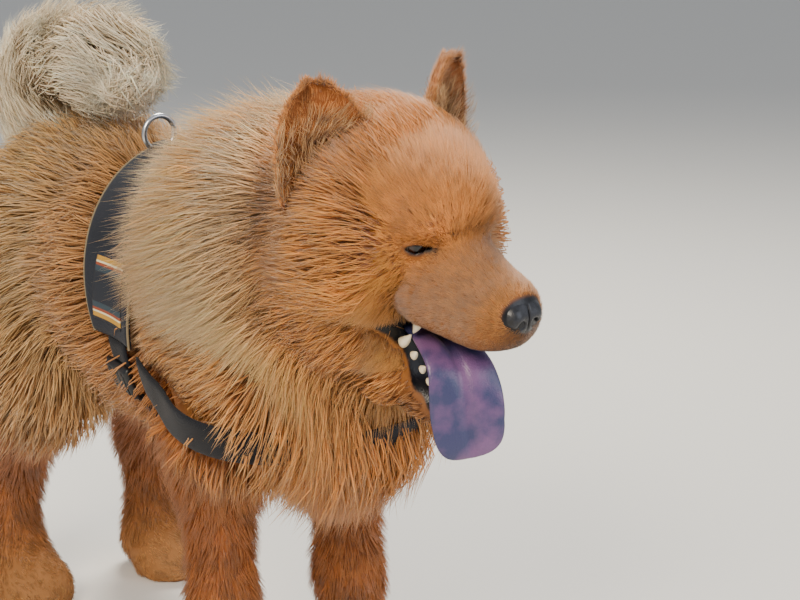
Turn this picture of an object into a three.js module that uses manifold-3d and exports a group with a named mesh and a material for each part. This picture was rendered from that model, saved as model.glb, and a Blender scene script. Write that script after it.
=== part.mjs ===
// A life-size chow chow that stands with its head turned to its left, mouth open and tongue out,
// in a padded harness. Millimetres, +Z up, +X forward, +Y to the dog's left.
// The body is one smooth form of round masses on the joints of the skeleton. It is parted into
// nodes, and the long coat stands on them as flat, tapered locks.
import * as THREE from "three";
import { mergeVertices } from "three/addons/utils/BufferGeometryUtils.js";
import Module from "manifold-3d";

const wasm = await Module();
wasm.setup();

// Driving dimensions
const WITHERS = 515; // height of the skin over the shoulders
const TRUNK = 440; // shoulder point to buttock, as long as the dog is tall less its coat
const CHEST_DEPTH = 250;
const CHEST_WIDTH = 218;
const FORE_TRACK = 146; // between the middles of the front feet
const HIND_TRACK = 172;
const HEAD_TURN = 11; // degrees to the dog's left
const HEAD_DROP = 12; // degrees below level
const HEAD_TILT = 2; // degrees, the left side up
const HEAD_AT = [236, 20, 503]; // midway between the eyes
const GAPE = 30; // degrees that the jaw is open
const GAP = 0.3; // between nodes that touch
const CORE_SHARE = 0.42; // of the coat's depth, which the solid under the locks fills
const SEED = 23;

const V = (x, y, z) => new THREE.Vector3(x, y, z);
const RAD = Math.PI / 180;
const SIDES = { right: -1, left: 1 };
const smooth = (t) => t * t * (3 - 2 * t);
const clamp01 = (t) => Math.min(1, Math.max(0, t));

let draw = SEED;
// A seeded random number from 0 to 1.
function random() {
  draw = (draw + 0x6d2b79f5) | 0;
  let t = Math.imul(draw ^ (draw >>> 15), 1 | draw);
  t = (t + Math.imul(t ^ (t >>> 7), 61 | t)) ^ t;
  return ((t ^ (t >>> 14)) >>> 0) / 4294967296;
}
const vary = (size, share) => size * (1 + share * (2 * random() - 1));

// The head's own frame: origin midway between the eyes, +X towards the nose.
const headFrame = new THREE.Matrix4()
  .makeTranslation(...HEAD_AT)
  .multiply(new THREE.Matrix4().makeRotationZ(HEAD_TURN * RAD))
  .multiply(new THREE.Matrix4().makeRotationY(HEAD_DROP * RAD))
  .multiply(new THREE.Matrix4().makeRotationX(HEAD_TILT * RAD));
const toHead = headFrame.clone().invert();
const JAW_HINGE = V(-75, 0, -40);
// A point given with the mouth shut, moved as the jaw opens, in the head's frame.
function onJaw(x, y, z) {
  const p = V(x, y, z).sub(JAW_HINGE);
  return p.applyAxisAngle(V(0, 1, 0), GAPE * RAD).add(JAW_HINGE);
}

// Masses of the body
// A limb is a cone with round ends; wide is its breadth over its depth. coat is how far the hair
// stands off it, and lie is the way that hair points.
function limb(from, to, fromRadius, toRadius, coat, lie, wide = 1) {
  const axis = to.clone().sub(from);
  const span = axis.lengthSq();
  return {
    coat,
    lie,
    distance(p) {
      const px = p.x - from.x, py = p.y - from.y, pz = p.z - from.z;
      const along = clamp01((px * axis.x + py * axis.y + pz * axis.z) / span);
      const dy = (py - along * axis.y) / wide;
      const off = Math.hypot(px - along * axis.x, dy, pz - along * axis.z);
      return off - (fromRadius + along * (toRadius - fromRadius));
    },
  };
}

// A ball is an ellipsoid with its half axes.
function ball(centre, halves, coat, lie) {
  return {
    coat,
    lie,
    distance(p) {
      const qx = (p.x - centre.x) / halves[0];
      const qy = (p.y - centre.y) / halves[1];
      const qz = (p.z - centre.z) / halves[2];
      const near = Math.hypot(qx, qy, qz);
      const steep = Math.hypot(qx / halves[0], qy / halves[1], qz / halves[2]);
      return (near * (near - 1)) / Math.max(steep, 1e-6);
    },
  };
}

const BACKWARD = V(-1, 0, -0.3).normalize();
const DOWN = V(0, 0, -1);
const BREECH = V(-0.6, 0, -0.8);
const CHEST_FALL = V(0.15, 0, -1).normalize();

// The masses of the body in world space, and those of the head in its own frame.
const bodyMasses = [];
const headMasses = [];
const ribHeight = WITHERS - CHEST_DEPTH / 2;
const ribWide = CHEST_WIDTH / CHEST_DEPTH;
const rump = -TRUNK + 62;
bodyMasses.push(
  limb(V(-22, 0, ribHeight - 6), V(-185, 0, ribHeight - 2), 120, 112, 44, BACKWARD, ribWide),
  limb(V(-185, 0, 398), V(-325, 0, 408), 100, 92, 44, BACKWARD, 0.93),
  limb(V(-325, 0, 408), V(rump - 12, 0, 412), 92, 88, 50, BACKWARD, 0.95),
  limb(V(-15, 0, 372), V(62, 0, 356), 100, 76, 66, CHEST_FALL),
  limb(V(-10, 0, 450), V(112, 6, 506), 88, 70, 88, V(-0.7, 0, -0.7)),
  limb(V(60, 4, 400), V(120, 10, 440), 70, 50, 58, V(-0.1, 0, -1)),
);
for (const s of Object.values(SIDES)) {
  const fore = (s * FORE_TRACK) / 2;
  const hind = (s * HIND_TRACK) / 2;
  bodyMasses.push(
    limb(V(-28, s * 48, 452), V(56, s * 74, 345), 52, 48, 42, BACKWARD),
    limb(V(56, s * 74, 340), V(-8, fore, 268), 46, 38, 26, V(-0.4, 0, -0.9)),
    limb(V(-8, fore, 268), V(0, fore, 118), 35, 26, 15, DOWN),
    limb(V(0, fore, 118), V(8, fore, 40), 26, 27, 11, DOWN),
    limb(V(10, fore, 30), V(38, fore, 24), 29, 25, 6, V(0.7, 0, -0.7), 1.12),
    limb(V(rump + 12, s * 56, 402), V(-332, hind, 290), 78, 60, 46, BREECH),
    limb(V(-336, hind, 276), V(-424, hind, 158), 50, 29, 24, BREECH),
    limb(V(-424, hind, 156), V(-418, hind, 46), 27, 25, 12, DOWN),
    limb(V(-414, hind, 30), V(-392, hind, 24), 28, 24, 6, V(0.7, 0, -0.7), 1.12),
  );
  for (const [step, reach] of [[-1.5, 56], [-0.5, 64], [0.5, 64], [1.5, 56]]) {
    for (const [x, y] of [[0, fore], [-428, hind]]) {
      bodyMasses.push(ball(V(x + reach, y + step * 15.5, 15), [18, 10, 15], 4, V(1, 0, 0)));
    }
  }
}

const FACE_BACK = V(-1, 0, 0.15);
headMasses.push(
  ball(V(-76, 0, 18), [82, 70, 58], 26, V(-1, 0, 0.35)),
  ball(V(-26, 0, 22), [44, 46, 38], 15, V(-0.8, 0, 0.6)),
  limb(V(2, 0, -28), V(62, 0, -40), 38, 28, 5, FACE_BACK, 1.06),
  ball(V(70, 0, -46), [18, 26, 24], 3, FACE_BACK),
  limb(V(-60, 0, -96), V(-112, 0, -80), 44, 62, 62, V(-0.5, 0, -0.9)),
);
for (const s of Object.values(SIDES)) {
  headMasses.push(
    ball(V(-9, s * 33, 19), [20, 21, 13], 6, V(-0.7, s * 0.5, 0.5)),
    ball(V(-58, s * 50, -20), [44, 39, 46], 38, V(-0.65, s * 0.7, -0.2)),
    ball(V(-72, s * 60, -16), [40, 26, 50], 34, V(-0.8, s * 0.5, -0.3)),
    ball(V(-66, s * 42, -66), [44, 32, 42], 38, V(-0.7, s * 0.2, -0.7)),
    limb(V(8, s * 26, -50), V(58, s * 16, -53), 23, 23, 5, V(-1, s * 0.1, -0.1)),
    limb(onJaw(-52, s * 34, -68), onJaw(12, s * 24, -94), 25, 18, 12, V(-0.8, 0, -0.5)),
  );
}
headMasses.push(limb(onJaw(8, 0, -98), onJaw(54, 0, -95), 21, 16, 7, V(-1, 0, -0.2), 1.35));

// Distance to the smooth union of all masses, with the depth and lie of the coat there.
const BODY_BLEND = 13;
const HEAD_BLEND = 7;
function blendOf(masses, at, blend) {
  let sum = 1e-30, coat = 0;
  const lie = V(0, 0, 0);
  for (const m of masses) {
    const share = Math.exp(-Math.min(m.distance(at), 300) / blend);
    sum += share;
    coat += share * m.coat;
    lie.addScaledVector(m.lie, share);
  }
  return { skin: -blend * Math.log(sum), coat: coat / sum, lie: lie.multiplyScalar(1 / sum) };
}
const seen = V(0, 0, 0);
function formAt(p) {
  const trunk = blendOf(bodyMasses, p, BODY_BLEND);
  const head = blendOf(headMasses, seen.copy(p).applyMatrix4(toHead), HEAD_BLEND);
  head.lie.transformDirection(headFrame);
  const share = 1 / (1 + Math.exp(Math.max(-60, Math.min(60, (head.skin - trunk.skin) / BODY_BLEND))));
  const low = Math.min(trunk.skin, head.skin);
  const rest = Math.exp((low - Math.max(trunk.skin, head.skin)) / BODY_BLEND);
  return {
    skin: low - BODY_BLEND * Math.log(1 + rest),
    coat: share * head.coat + (1 - share) * trunk.coat,
    lie: head.lie.multiplyScalar(share).addScaledVector(trunk.lie, 1 - share).normalize(),
  };
}
function coreAt(p) {
  const form = formAt(p);
  return form.skin - CORE_SHARE * form.coat;
}
function outward(field, p) {
  const step = 1.5;
  const here = (dx, dy, dz) => field(V(p.x + dx, p.y + dy, p.z + dz));
  return V(
    here(step, 0, 0) - here(-step, 0, 0),
    here(0, step, 0) - here(0, -step, 0),
    here(0, 0, step) - here(0, 0, -step),
  ).normalize();
}

// Solids
function solid(positions, triangles) {
  const made = new wasm.Manifold(
    new wasm.Mesh({
      numProp: 3,
      vertProperties: new Float32Array(positions),
      triVerts: new Uint32Array(triangles),
    }),
  );
  if (made.volume() >= 0) return made;
  const turned = [];
  for (let i = 0; i < triangles.length; i += 3) {
    turned.push(triangles[i], triangles[i + 2], triangles[i + 1]);
  }
  return solid(positions, turned);
}
function solidOf(geometry, matrix = new THREE.Matrix4()) {
  const bare = geometry.clone();
  bare.deleteAttribute("normal");
  bare.deleteAttribute("uv");
  const merged = mergeVertices(bare.applyMatrix4(matrix), 1e-4);
  return solid(merged.attributes.position.array, merged.index.array);
}
const join = (pieces) => wasm.Manifold.union(pieces);
// The largest closed body of a solid.
function largest(made) {
  const bodies = made.decompose();
  return bodies.reduce((a, b) => (b.volume() > a.volume() ? b : a));
}
const SLIVER = 0.06;
// The largest body, with the slivers that cutting leaves closed up.
const mended = (made) => largest(largest(made).simplify(SLIVER));

// The surface where field is 0, in a box, as quads through the cells that it crosses.
function surface(field, low, high, cell) {
  const count = low.map((l, i) => Math.round((high[i] - l) / cell[i]) + 1);
  const size = cell.map((_, i) => (high[i] - low[i]) / (count[i] - 1));
  const index = (i, j, k) => (k * count[1] + j) * count[0] + i;
  const values = new Float64Array(count[0] * count[1] * count[2]);
  const p = V(0, 0, 0);
  for (let k = 0; k < count[2]; k++)
    for (let j = 0; j < count[1]; j++)
      for (let i = 0; i < count[0]; i++) {
        const rim = [i, j, k].some((n, a) => n === 0 || n === count[a] - 1);
        p.set(low[0] + i * size[0], low[1] + j * size[1], low[2] + k * size[2]);
        values[index(i, j, k)] = rim ? size[0] / 2 : field(p) || 1e-4;
      }
  const corners = [0, 1, 2, 3, 4, 5, 6, 7].map((c) => [c & 1, (c >> 1) & 1, c >> 2]);
  const edges = [];
  corners.forEach((a, m) => {
    corners.forEach((b, n) => {
      const apart = Math.abs(a[0] - b[0]) + Math.abs(a[1] - b[1]) + Math.abs(a[2] - b[2]);
      if (m < n && apart === 1) edges.push([a, b]);
    });
  });
  const positions = [], triangles = [];
  const vertex = new Int32Array(values.length).fill(-1);
  for (let k = 0; k < count[2] - 1; k++)
    for (let j = 0; j < count[1] - 1; j++)
      for (let i = 0; i < count[0] - 1; i++) {
        let crossings = 0;
        const sum = [0, 0, 0];
        for (const [a, b] of edges) {
          const va = values[index(i + a[0], j + a[1], k + a[2])];
          const vb = values[index(i + b[0], j + b[1], k + b[2])];
          if (va < 0 === vb < 0) continue;
          const t = va / (va - vb);
          for (let c = 0; c < 3; c++) sum[c] += a[c] + t * (b[c] - a[c]);
          crossings++;
        }
        if (!crossings) continue;
        vertex[index(i, j, k)] = positions.length / 3;
        const at = [i, j, k];
        for (let c = 0; c < 3; c++) {
          positions.push(low[c] + (at[c] + sum[c] / crossings) * size[c]);
        }
      }
  const quad = (a, b, c, d, flip) => {
    const [v, w, x, y] = flip ? [a, d, c, b] : [a, b, c, d];
    triangles.push(v, w, x, v, x, y);
  };
  for (let k = 0; k < count[2] - 1; k++)
    for (let j = 0; j < count[1] - 1; j++)
      for (let i = 0; i < count[0] - 1; i++) {
        const here = values[index(i, j, k)] < 0;
        const cellAt = (a, b, c) => vertex[index(i - a, j - b, k - c)];
        if (here !== values[index(i + 1, j, k)] < 0)
          quad(cellAt(0, 1, 1), cellAt(0, 0, 1), cellAt(0, 0, 0), cellAt(0, 1, 0), !here);
        if (here !== values[index(i, j + 1, k)] < 0)
          quad(cellAt(1, 0, 1), cellAt(1, 0, 0), cellAt(0, 0, 0), cellAt(0, 0, 1), !here);
        if (here !== values[index(i, j, k + 1)] < 0)
          quad(cellAt(1, 1, 0), cellAt(0, 1, 0), cellAt(0, 0, 0), cellAt(1, 0, 0), !here);
      }
  return solid(positions, triangles);
}

// A solid through stations of {centre, across, up}, each with a section of points in that plane.
function sweep(stations, section, pointed) {
  const positions = [], triangles = [];
  const around = section.length;
  const rings = pointed ? stations.length - 1 : stations.length;
  for (let r = 0; r < rings; r++) {
    for (const [a, b] of section) {
      const s = stations[r];
      const p = s.centre.clone().addScaledVector(s.across, a).addScaledVector(s.up, b);
      positions.push(p.x, p.y, p.z);
    }
  }
  for (let r = 0; r + 1 < rings; r++)
    for (let i = 0; i < around; i++) {
      const j = (i + 1) % around;
      const a = r * around + i, b = r * around + j;
      triangles.push(a, b, b + around, a, b + around, a + around);
    }
  for (let i = 1; i + 1 < around; i++) triangles.push(0, i + 1, i);
  const last = (rings - 1) * around;
  if (pointed) {
    positions.push(...stations[rings].centre.toArray());
    for (let i = 0; i < around; i++) {
      triangles.push(last + i, last + ((i + 1) % around), rings * around);
    }
  } else {
    for (let i = 1; i + 1 < around; i++) triangles.push(last, last + i, last + i + 1);
  }
  return solid(positions, triangles);
}

// A closed sheet over a grid of point pairs [inner, outer].
function sheet(grid) {
  const rows = grid.length, columns = grid[0].length;
  const positions = [], triangles = [];
  for (const layer of [0, 1])
    for (const row of grid) for (const pair of row) positions.push(...pair[layer].toArray());
  const at = (layer, r, c) => layer * rows * columns + r * columns + c;
  const quad = (a, b, c, d) => triangles.push(a, b, c, a, c, d);
  for (let r = 0; r + 1 < rows; r++)
    for (let c = 0; c + 1 < columns; c++) {
      quad(at(1, r, c), at(1, r, c + 1), at(1, r + 1, c + 1), at(1, r + 1, c));
      // The inner face is split along the same diagonal as the outer one.
      triangles.push(at(0, r, c), at(0, r + 1, c + 1), at(0, r, c + 1));
      triangles.push(at(0, r, c), at(0, r + 1, c), at(0, r + 1, c + 1));
    }
  for (let r = 0; r + 1 < rows; r++) {
    quad(at(0, r, 0), at(1, r, 0), at(1, r + 1, 0), at(0, r + 1, 0));
    const c = columns - 1;
    quad(at(0, r + 1, c), at(1, r + 1, c), at(1, r, c), at(0, r, c));
  }
  for (let c = 0; c + 1 < columns; c++) {
    quad(at(0, 0, c + 1), at(1, 0, c + 1), at(1, 0, c), at(0, 0, c));
    const r = rows - 1;
    quad(at(0, r, c), at(1, r, c), at(1, r, c + 1), at(0, r, c + 1));
  }
  return solid(positions, triangles);
}

// A box between two corners of a frame, as a zone that parts the body.
function zone(low, high, grow = 0, frame = new THREE.Matrix4()) {
  const size = high.map((h, i) => h - low[i] + 2 * grow);
  const middle = high.map((h, i) => (h + low[i]) / 2);
  const place = frame.clone().multiply(new THREE.Matrix4().makeTranslation(...middle));
  return solidOf(new THREE.BoxGeometry(...size), place);
}
// A solid grown by moving each corner out along its normal.
function grown(made, by) {
  const mesh = made.getMesh();
  const geometry = new THREE.BufferGeometry();
  const places = new Float32Array(mesh.numVert * 3);
  for (let i = 0; i < mesh.numVert; i++) {
    for (let c = 0; c < 3; c++) places[3 * i + c] = mesh.vertProperties[i * mesh.numProp + c];
  }
  geometry.setAttribute("position", new THREE.BufferAttribute(places, 3));
  geometry.setIndex(new THREE.BufferAttribute(new Uint32Array(mesh.triVerts), 1));
  geometry.computeVertexNormals();
  const normals = geometry.attributes.normal.array;
  return solid(places.map((at, i) => at + by * normals[i]), mesh.triVerts);
}

// The parts of the body
const bodyForm = surface(coreAt, [-560, -230, -20], [232, 230, 660], [40, 29, 29]);
const bodyFat = grown(bodyForm, 0.35);
const legForm = (low, high) => surface(coreAt, low, high, [20, 20, 34]);
const headForm = surface(
  (p) => coreAt(p.clone().applyMatrix4(headFrame)),
  [-190, -160, -230],
  [130, 160, 130],
  [18, 18, 18],
).transform(headFrame.elements);

const FAR = 900;
// Everything on the side of a plane that its normal points to.
function beyond(at, normal, grow = 0) {
  const turn = new THREE.Quaternion().setFromUnitVectors(V(0, 0, 1), normal.clone().normalize());
  const place = new THREE.Matrix4().compose(at, turn, V(1, 1, 1));
  return zone([-FAR, -FAR, -grow], [FAR, FAR, FAR], 0, place);
}
const NECK_BACK = [V(20, 0, 450), V(0.8, 0, 0.6)];
const NECK_LOW = [V(60, 0, 388), V(-0.3, 0, 0.95)];
const neckZone = (grow) => beyond(...NECK_BACK, grow).intersect(beyond(...NECK_LOW, grow));
const headZone = (grow) => zone([-125, -200, -104], [200, 200, 300], grow, headFrame);
const LIP_CORNER = V(-24, 0, -77);
const LOWER_LIP = 50; // degrees that the lower lip drops from the corner of the mouth
const jawFrame = headFrame
  .clone()
  .multiply(new THREE.Matrix4().makeTranslation(...LIP_CORNER.toArray()))
  .multiply(new THREE.Matrix4().makeRotationY(LOWER_LIP * RAD));
const jawZone = (grow) => zone([-8, -50, -66], [170, 50, 2], grow, jawFrame);
const muzzleZone = (grow) => zone([12, -70, -110], [160, 70, 24], grow, headFrame);
const sideZone = (low, high, s, grow) => {
  const [inner, outer] = [low[1] * s, high[1] * s].sort((a, b) => a - b);
  return zone([low[0], inner, low[2]], [high[0], outer, high[2]], grow);
};
const FORE = [[-110, 30, -60], [110, 200, 262]];
const HIND = [[-620, 10, -60], [-262, 240, 312]];
const PAW_TOP = 50;
const above = (made, height) => made.trimByPlane([0, 0, 1], height);

// The opening of the mouth, cut through from side to side, and the hollow behind it.
function mouth() {
  const outline = [
    [LIP_CORNER.x, LIP_CORNER.z],
    [140, -67],
    [140, LIP_CORNER.z - (140 - LIP_CORNER.x) * Math.tan(LOWER_LIP * RAD)],
  ];
  const positions = [], triangles = [0, 1, 2, 3, 5, 4];
  for (const y of [-90, 90]) for (const [x, z] of outline) positions.push(x, y, z);
  for (let i = 0; i < 3; i++) {
    const j = (i + 1) % 3;
    triangles.push(i, i + 3, j + 3, i, j + 3, j);
  }
  const hollow = (at, halves, frame) =>
    solidOf(
      new THREE.SphereGeometry(1, 10, 6),
      frame.clone().multiply(new THREE.Matrix4().compose(at, new THREE.Quaternion(), halves)),
    );
  return join([
    solid(positions, triangles).transform(headFrame.elements),
    hollow(V(-30, 0, -82), V(42, 25, 20), headFrame),
    hollow(V(24, 0, -74), V(50, 21, 15), headFrame),
    hollow(V(30, 0, 0), V(46, 19, 13), jawFrame),
  ]);
}
const mouthHole = mouth();

// A tooth is a cone that starts in the gum.
function tooth(at, way, height, radius) {
  const turn = new THREE.Quaternion().setFromUnitVectors(V(0, 1, 0), way.clone().normalize());
  const place = new THREE.Matrix4().compose(at, turn, V(1, 1, 1));
  const cone = new THREE.CylinderGeometry(radius * 0.25, radius, height, 5);
  return solidOf(cone, headFrame.clone().multiply(place));
}
const jawPoint = (x, y, z) => V(x, y, z).applyMatrix4(jawFrame).applyMatrix4(toHead);
const upperTeeth = [], lowerTeeth = [];
for (const s of Object.values(SIDES)) {
  upperTeeth.push(tooth(V(64, s * 17, -70), V(0.1, 0, -1), 22, 4.2));
  lowerTeeth.push(tooth(jawPoint(66, s * 14, 1), V(0.35, 0, 1), 18, 3.6));
  for (const x of [8, 24, 40]) {
    upperTeeth.push(tooth(V(x, s * 27, -72), V(0, 0, -1), 15, 4.5));
    lowerTeeth.push(tooth(jawPoint(x + 16, s * (25 - x / 8), 0), V(0.2, 0, 1), 11, 4));
  }
}

// Tongue: stations of {centre, across, up}, broadest beyond the lip and rounded at the tip.
const TONGUE = [
  [-36, 0, -91, 16, 5],
  [-4, -4, -92, 22, 6.5],
  [24, -14, -92, 28, 6.5],
  [44, -19, -101, 31, 6],
  [57, -21, -121, 33, 5.5],
  [65, -21, -145, 32, 5],
  [71, -20, -164, 24, 4.2],
  [74, -19, -174, 12, 3],
];
const TONGUE_TURN = 34;
function tongueOf(grow) {
  const path = new THREE.CatmullRomCurve3(TONGUE.map(([x, y, z]) => V(x, y, z)));
  const stations = [];
  const steps = 11;
  for (let i = 0; i <= steps; i++) {
    const t = (i / steps) * (TONGUE.length - 1);
    const k = Math.min(TONGUE.length - 2, Math.floor(t));
    const f = smooth(t - k);
    const wide = TONGUE[k][3] + f * (TONGUE[k + 1][3] - TONGUE[k][3]);
    const thick = TONGUE[k][4] + f * (TONGUE[k + 1][4] - TONGUE[k][4]);
    const centre = path.getPoint(t / (TONGUE.length - 1));
    const tangent = path.getTangent(t / (TONGUE.length - 1));
    const turn = -TONGUE_TURN * RAD * clamp01(t / 4);
    const across = V(-Math.sin(turn), Math.cos(turn), 0);
    across.addScaledVector(tangent, -across.dot(tangent)).normalize();
    const up = new THREE.Vector3().crossVectors(tangent, across).normalize();
    stations.push({
      centre: centre.applyMatrix4(headFrame),
      across: across.transformDirection(headFrame).multiplyScalar(wide + grow),
      up: up.transformDirection(headFrame).multiplyScalar(thick + grow),
    });
  }
  // A flat oval with a groove along the middle of its upper face.
  const section = [];
  for (let i = 0; i < 12; i++) {
    const a = (2 * Math.PI * i) / 12;
    const groove = Math.abs(Math.sin(a) - 1) < 0.01 ? 0.45 : 1;
    section.push([Math.cos(a), Math.sin(a) * groove]);
  }
  return sweep(stations, section, false);
}
const tongue = tongueOf(0);
const tongueFat = tongueOf(0.35);

// Nose leather with its nostrils.
function noseOf(grow) {
  const oval = (x, y, z, a, b, c, n = 10) =>
    solidOf(
      new THREE.SphereGeometry(1, n, Math.round(n * 0.6)),
      headFrame.clone().multiply(
        new THREE.Matrix4().compose(V(x, y, z), new THREE.Quaternion(), V(a + grow, b + grow, c + grow)),
      ),
    );
  const leather = join([oval(80, 0, -37, 13, 23, 16), oval(86, 0, -42, 10, 16, 15)]);
  const front = zone([70 - grow, -60, -100], [140, 60, 60], 0, headFrame);
  return { leather: leather.intersect(front), oval };
}
let nose = noseOf(0).leather;
const noseFat = noseOf(0.35).leather;
for (const s of Object.values(SIDES)) {
  const { oval } = noseOf(0);
  nose = nose.subtract(oval(95, s * 8.5, -42, 7, 4.2, 3.6, 6));
  nose = nose.subtract(oval(89, s * 14, -45, 8, 7, 1.8, 6));
}

// Eyes, and the lids that lie over them.
const EYE = [-9, 38, 0];
const EYE_RADIUS = 11.5;
function eyeFrame(s) {
  const gaze = V(0.87, s * 0.48, -0.06).normalize();
  const side = new THREE.Vector3().crossVectors(V(0, 0, 1), gaze).normalize();
  const up = new THREE.Vector3().crossVectors(gaze, side);
  const basis = new THREE.Matrix4().makeBasis(gaze, side, up);
  const place = new THREE.Matrix4().makeTranslation(EYE[0], s * EYE[1], EYE[2]);
  return headFrame.clone().multiply(place).multiply(basis);
}
function eyeball(s, radius) {
  const sphere = new THREE.SphereGeometry(radius, 12, 8);
  return solidOf(sphere, eyeFrame(s));
}
// The hollow between brow and cheek that the eye looks out of.
function socket(s) {
  const place = new THREE.Matrix4().compose(V(14, 0, 0), new THREE.Quaternion(), V(17, 17, 13));
  return solidOf(new THREE.SphereGeometry(1, 10, 7), eyeFrame(s).multiply(place));
}
// A lid runs from its margin, near the middle of the eye, back to the socket.
function lid(s, upper) {
  const grid = [];
  const rows = 3, columns = 6;
  for (let r = 0; r < rows; r++) {
    const row = [];
    for (let c = 0; c < columns; c++) {
      const across = (2 * c) / (columns - 1) - 1;
      const open = 1 - across * across;
      const margin = upper ? 22 * open - 9 : -14 * open - 3;
      const end = upper ? 80 : -80;
      const rise = (margin + (r / (rows - 1)) * (end - margin)) * RAD;
      const yaw = across * 62 * RAD;
      const way = V(Math.cos(rise) * Math.cos(yaw), Math.cos(rise) * Math.sin(yaw), Math.sin(rise));
      const thick = r === 0 ? 1.8 : 3.4;
      const pair = [EYE_RADIUS - 1.2, EYE_RADIUS + thick].map((reach) =>
        way.clone().multiplyScalar(reach).applyMatrix4(eyeFrame(s)),
      );
      row.push(pair);
    }
    grid.push(upper ? row : row.reverse());
  }
  return sheet(grid);
}

// Ears: small rounded triangles, cupped to the front.
const EAR_BASE = [-101, 62, 24];
const EAR_TIP = [-107, 88, 120];
const EAR_HALF = 45;
const EAR_CUP = 20;
function earOf(s, grow) {
  const base = V(EAR_BASE[0], s * EAR_BASE[1], EAR_BASE[2]);
  const tip = V(EAR_TIP[0], s * EAR_TIP[1], EAR_TIP[2]);
  const axis = tip.clone().sub(base);
  const facing = V(0.93, s * 0.3, -0.1);
  facing.addScaledVector(axis, -facing.dot(axis) / axis.lengthSq()).normalize();
  const across = new THREE.Vector3().crossVectors(axis, facing).normalize();
  const grid = [];
  const rows = 7, columns = 7;
  for (let r = 0; r < rows; r++) {
    const v = r / (rows - 1);
    const half = EAR_HALF * Math.pow(Math.max(0.02, 1 - Math.pow(v, 2.8)), 0.6) + grow;
    const row = [];
    for (let c = 0; c < columns; c++) {
      const u = (2 * c) / (columns - 1) - 1;
      const middle = base.clone().addScaledVector(axis, v + (grow / 100) * (v > 0.5 ? 1 : -1));
      middle.addScaledVector(across, u * half);
      middle.addScaledVector(facing, EAR_CUP * u * u * (1 - 0.55 * v) - 4 * v);
      const thick = 2.2 + 4.5 * (1 - u * u) * (1 - 0.6 * v);
      row.push([
        middle.clone().addScaledVector(facing, thick * 0.5 + grow).applyMatrix4(headFrame),
        middle.clone().addScaledVector(facing, -thick - grow).applyMatrix4(headFrame),
      ]);
    }
    grid.push(row);
  }
  return sheet(grid);
}

// Harness
// Bands lie on the coat's core. A band is a sheet between two curves round the trunk.
const saddleAxis = (x) => V(x, 0, 392);
function onCore(start, way, level) {
  let near = 0, far = 330;
  for (let i = 0; i < 26; i++) {
    const middle = (near + far) / 2;
    const p = start.clone().addScaledVector(way, middle);
    if (coreAt(p) < level) near = middle;
    else far = middle;
  }
  return start.clone().addScaledVector(way, near);
}
function band(rows, columns, place, thickness, grow = 0, bottom = -2.5) {
  const grid = [];
  for (let r = 0; r <= rows; r++) {
    const row = [];
    for (let c = 0; c <= columns; c++) {
      const a = r / rows + 0.02 * grow * ((r === rows) - (r === 0));
      const b = c / columns + 0.02 * grow * ((c === columns) - (c === 0));
      const { start, way } = place(a, b);
      row.push([onCore(start, way, bottom - grow), onCore(start, way, thickness + grow)]);
    }
    grid.push(row);
  }
  return sheet(grid);
}
const around = (angle) => V(0, Math.sin(angle * RAD), Math.cos(angle * RAD));
const SADDLE_FRONT = -50, SADDLE_REAR = -196;
const saddleOf = (grow) => band(
  4,
  14,
  (a, b) => {
    const angle = 104 * (2 * b - 1);
    const narrow = Math.pow(Math.abs(2 * b - 1), 1.6);
    const front = SADDLE_FRONT - 22 * narrow;
    const rear = SADDLE_REAR + 44 * narrow;
    return { start: saddleAxis(front + a * (rear - front)), way: around(angle) };
  },
  5,
  grow,
);
const girthOf = (grow) => band(
  1,
  10,
  (a, b) => ({ start: saddleAxis(-92 - 36 * a), way: around(104.6 + 150.8 * b) }),
  4,
  grow,
);
const CHEST_STRAP = [318, 280];
const chestStrapOf = (grow) => band(
  1,
  16,
  (a, b) => {
    const angle = (2 * b - 1) * 104 * RAD;
    const z = CHEST_STRAP[0] + a * (CHEST_STRAP[1] - CHEST_STRAP[0]);
    const lift = 40 * Math.pow(Math.abs(2 * b - 1), 2);
    return { start: V(-22, 0, z + lift), way: V(Math.cos(angle), Math.sin(angle), 0) };
  },
  4,
  grow,
);
const [saddle, girth, chestStrap] = [saddleOf(0), girthOf(0), chestStrapOf(0)];
// Something sewn flat on the harness, between two stations along the back and two angles round it.
const patch = (from, to, low, high, thickness, columns = 2) => band(
  1,
  columns,
  (a, b) => ({ start: saddleAxis(from + a * (to - from)), way: around(low + b * (high - low)) }),
  thickness,
  0,
  2,
);
const labels = { right: patch(-84, -146, 263, 293, 7.5), left: patch(-84, -146, 67, 97, 7.5) };
const buckles = { right: patch(-84, -134, 232, 246, 13), left: patch(-84, -134, 114, 128, 13) };
const handle = patch(-74, -168, -6, 6, 11);
const RING = { station: -186, angle: -9, radius: 17, wire: 2.7 };
const ringFoot = onCore(saddleAxis(RING.station), around(RING.angle), 5);
const ring = solidOf(
  new THREE.TorusGeometry(RING.radius, RING.wire, 5, 16),
  new THREE.Matrix4()
    .makeTranslation(...ringFoot.addScaledVector(around(RING.angle), RING.radius - 4).toArray())
    .multiply(new THREE.Matrix4().makeRotationY(Math.PI / 2)),
);

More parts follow.
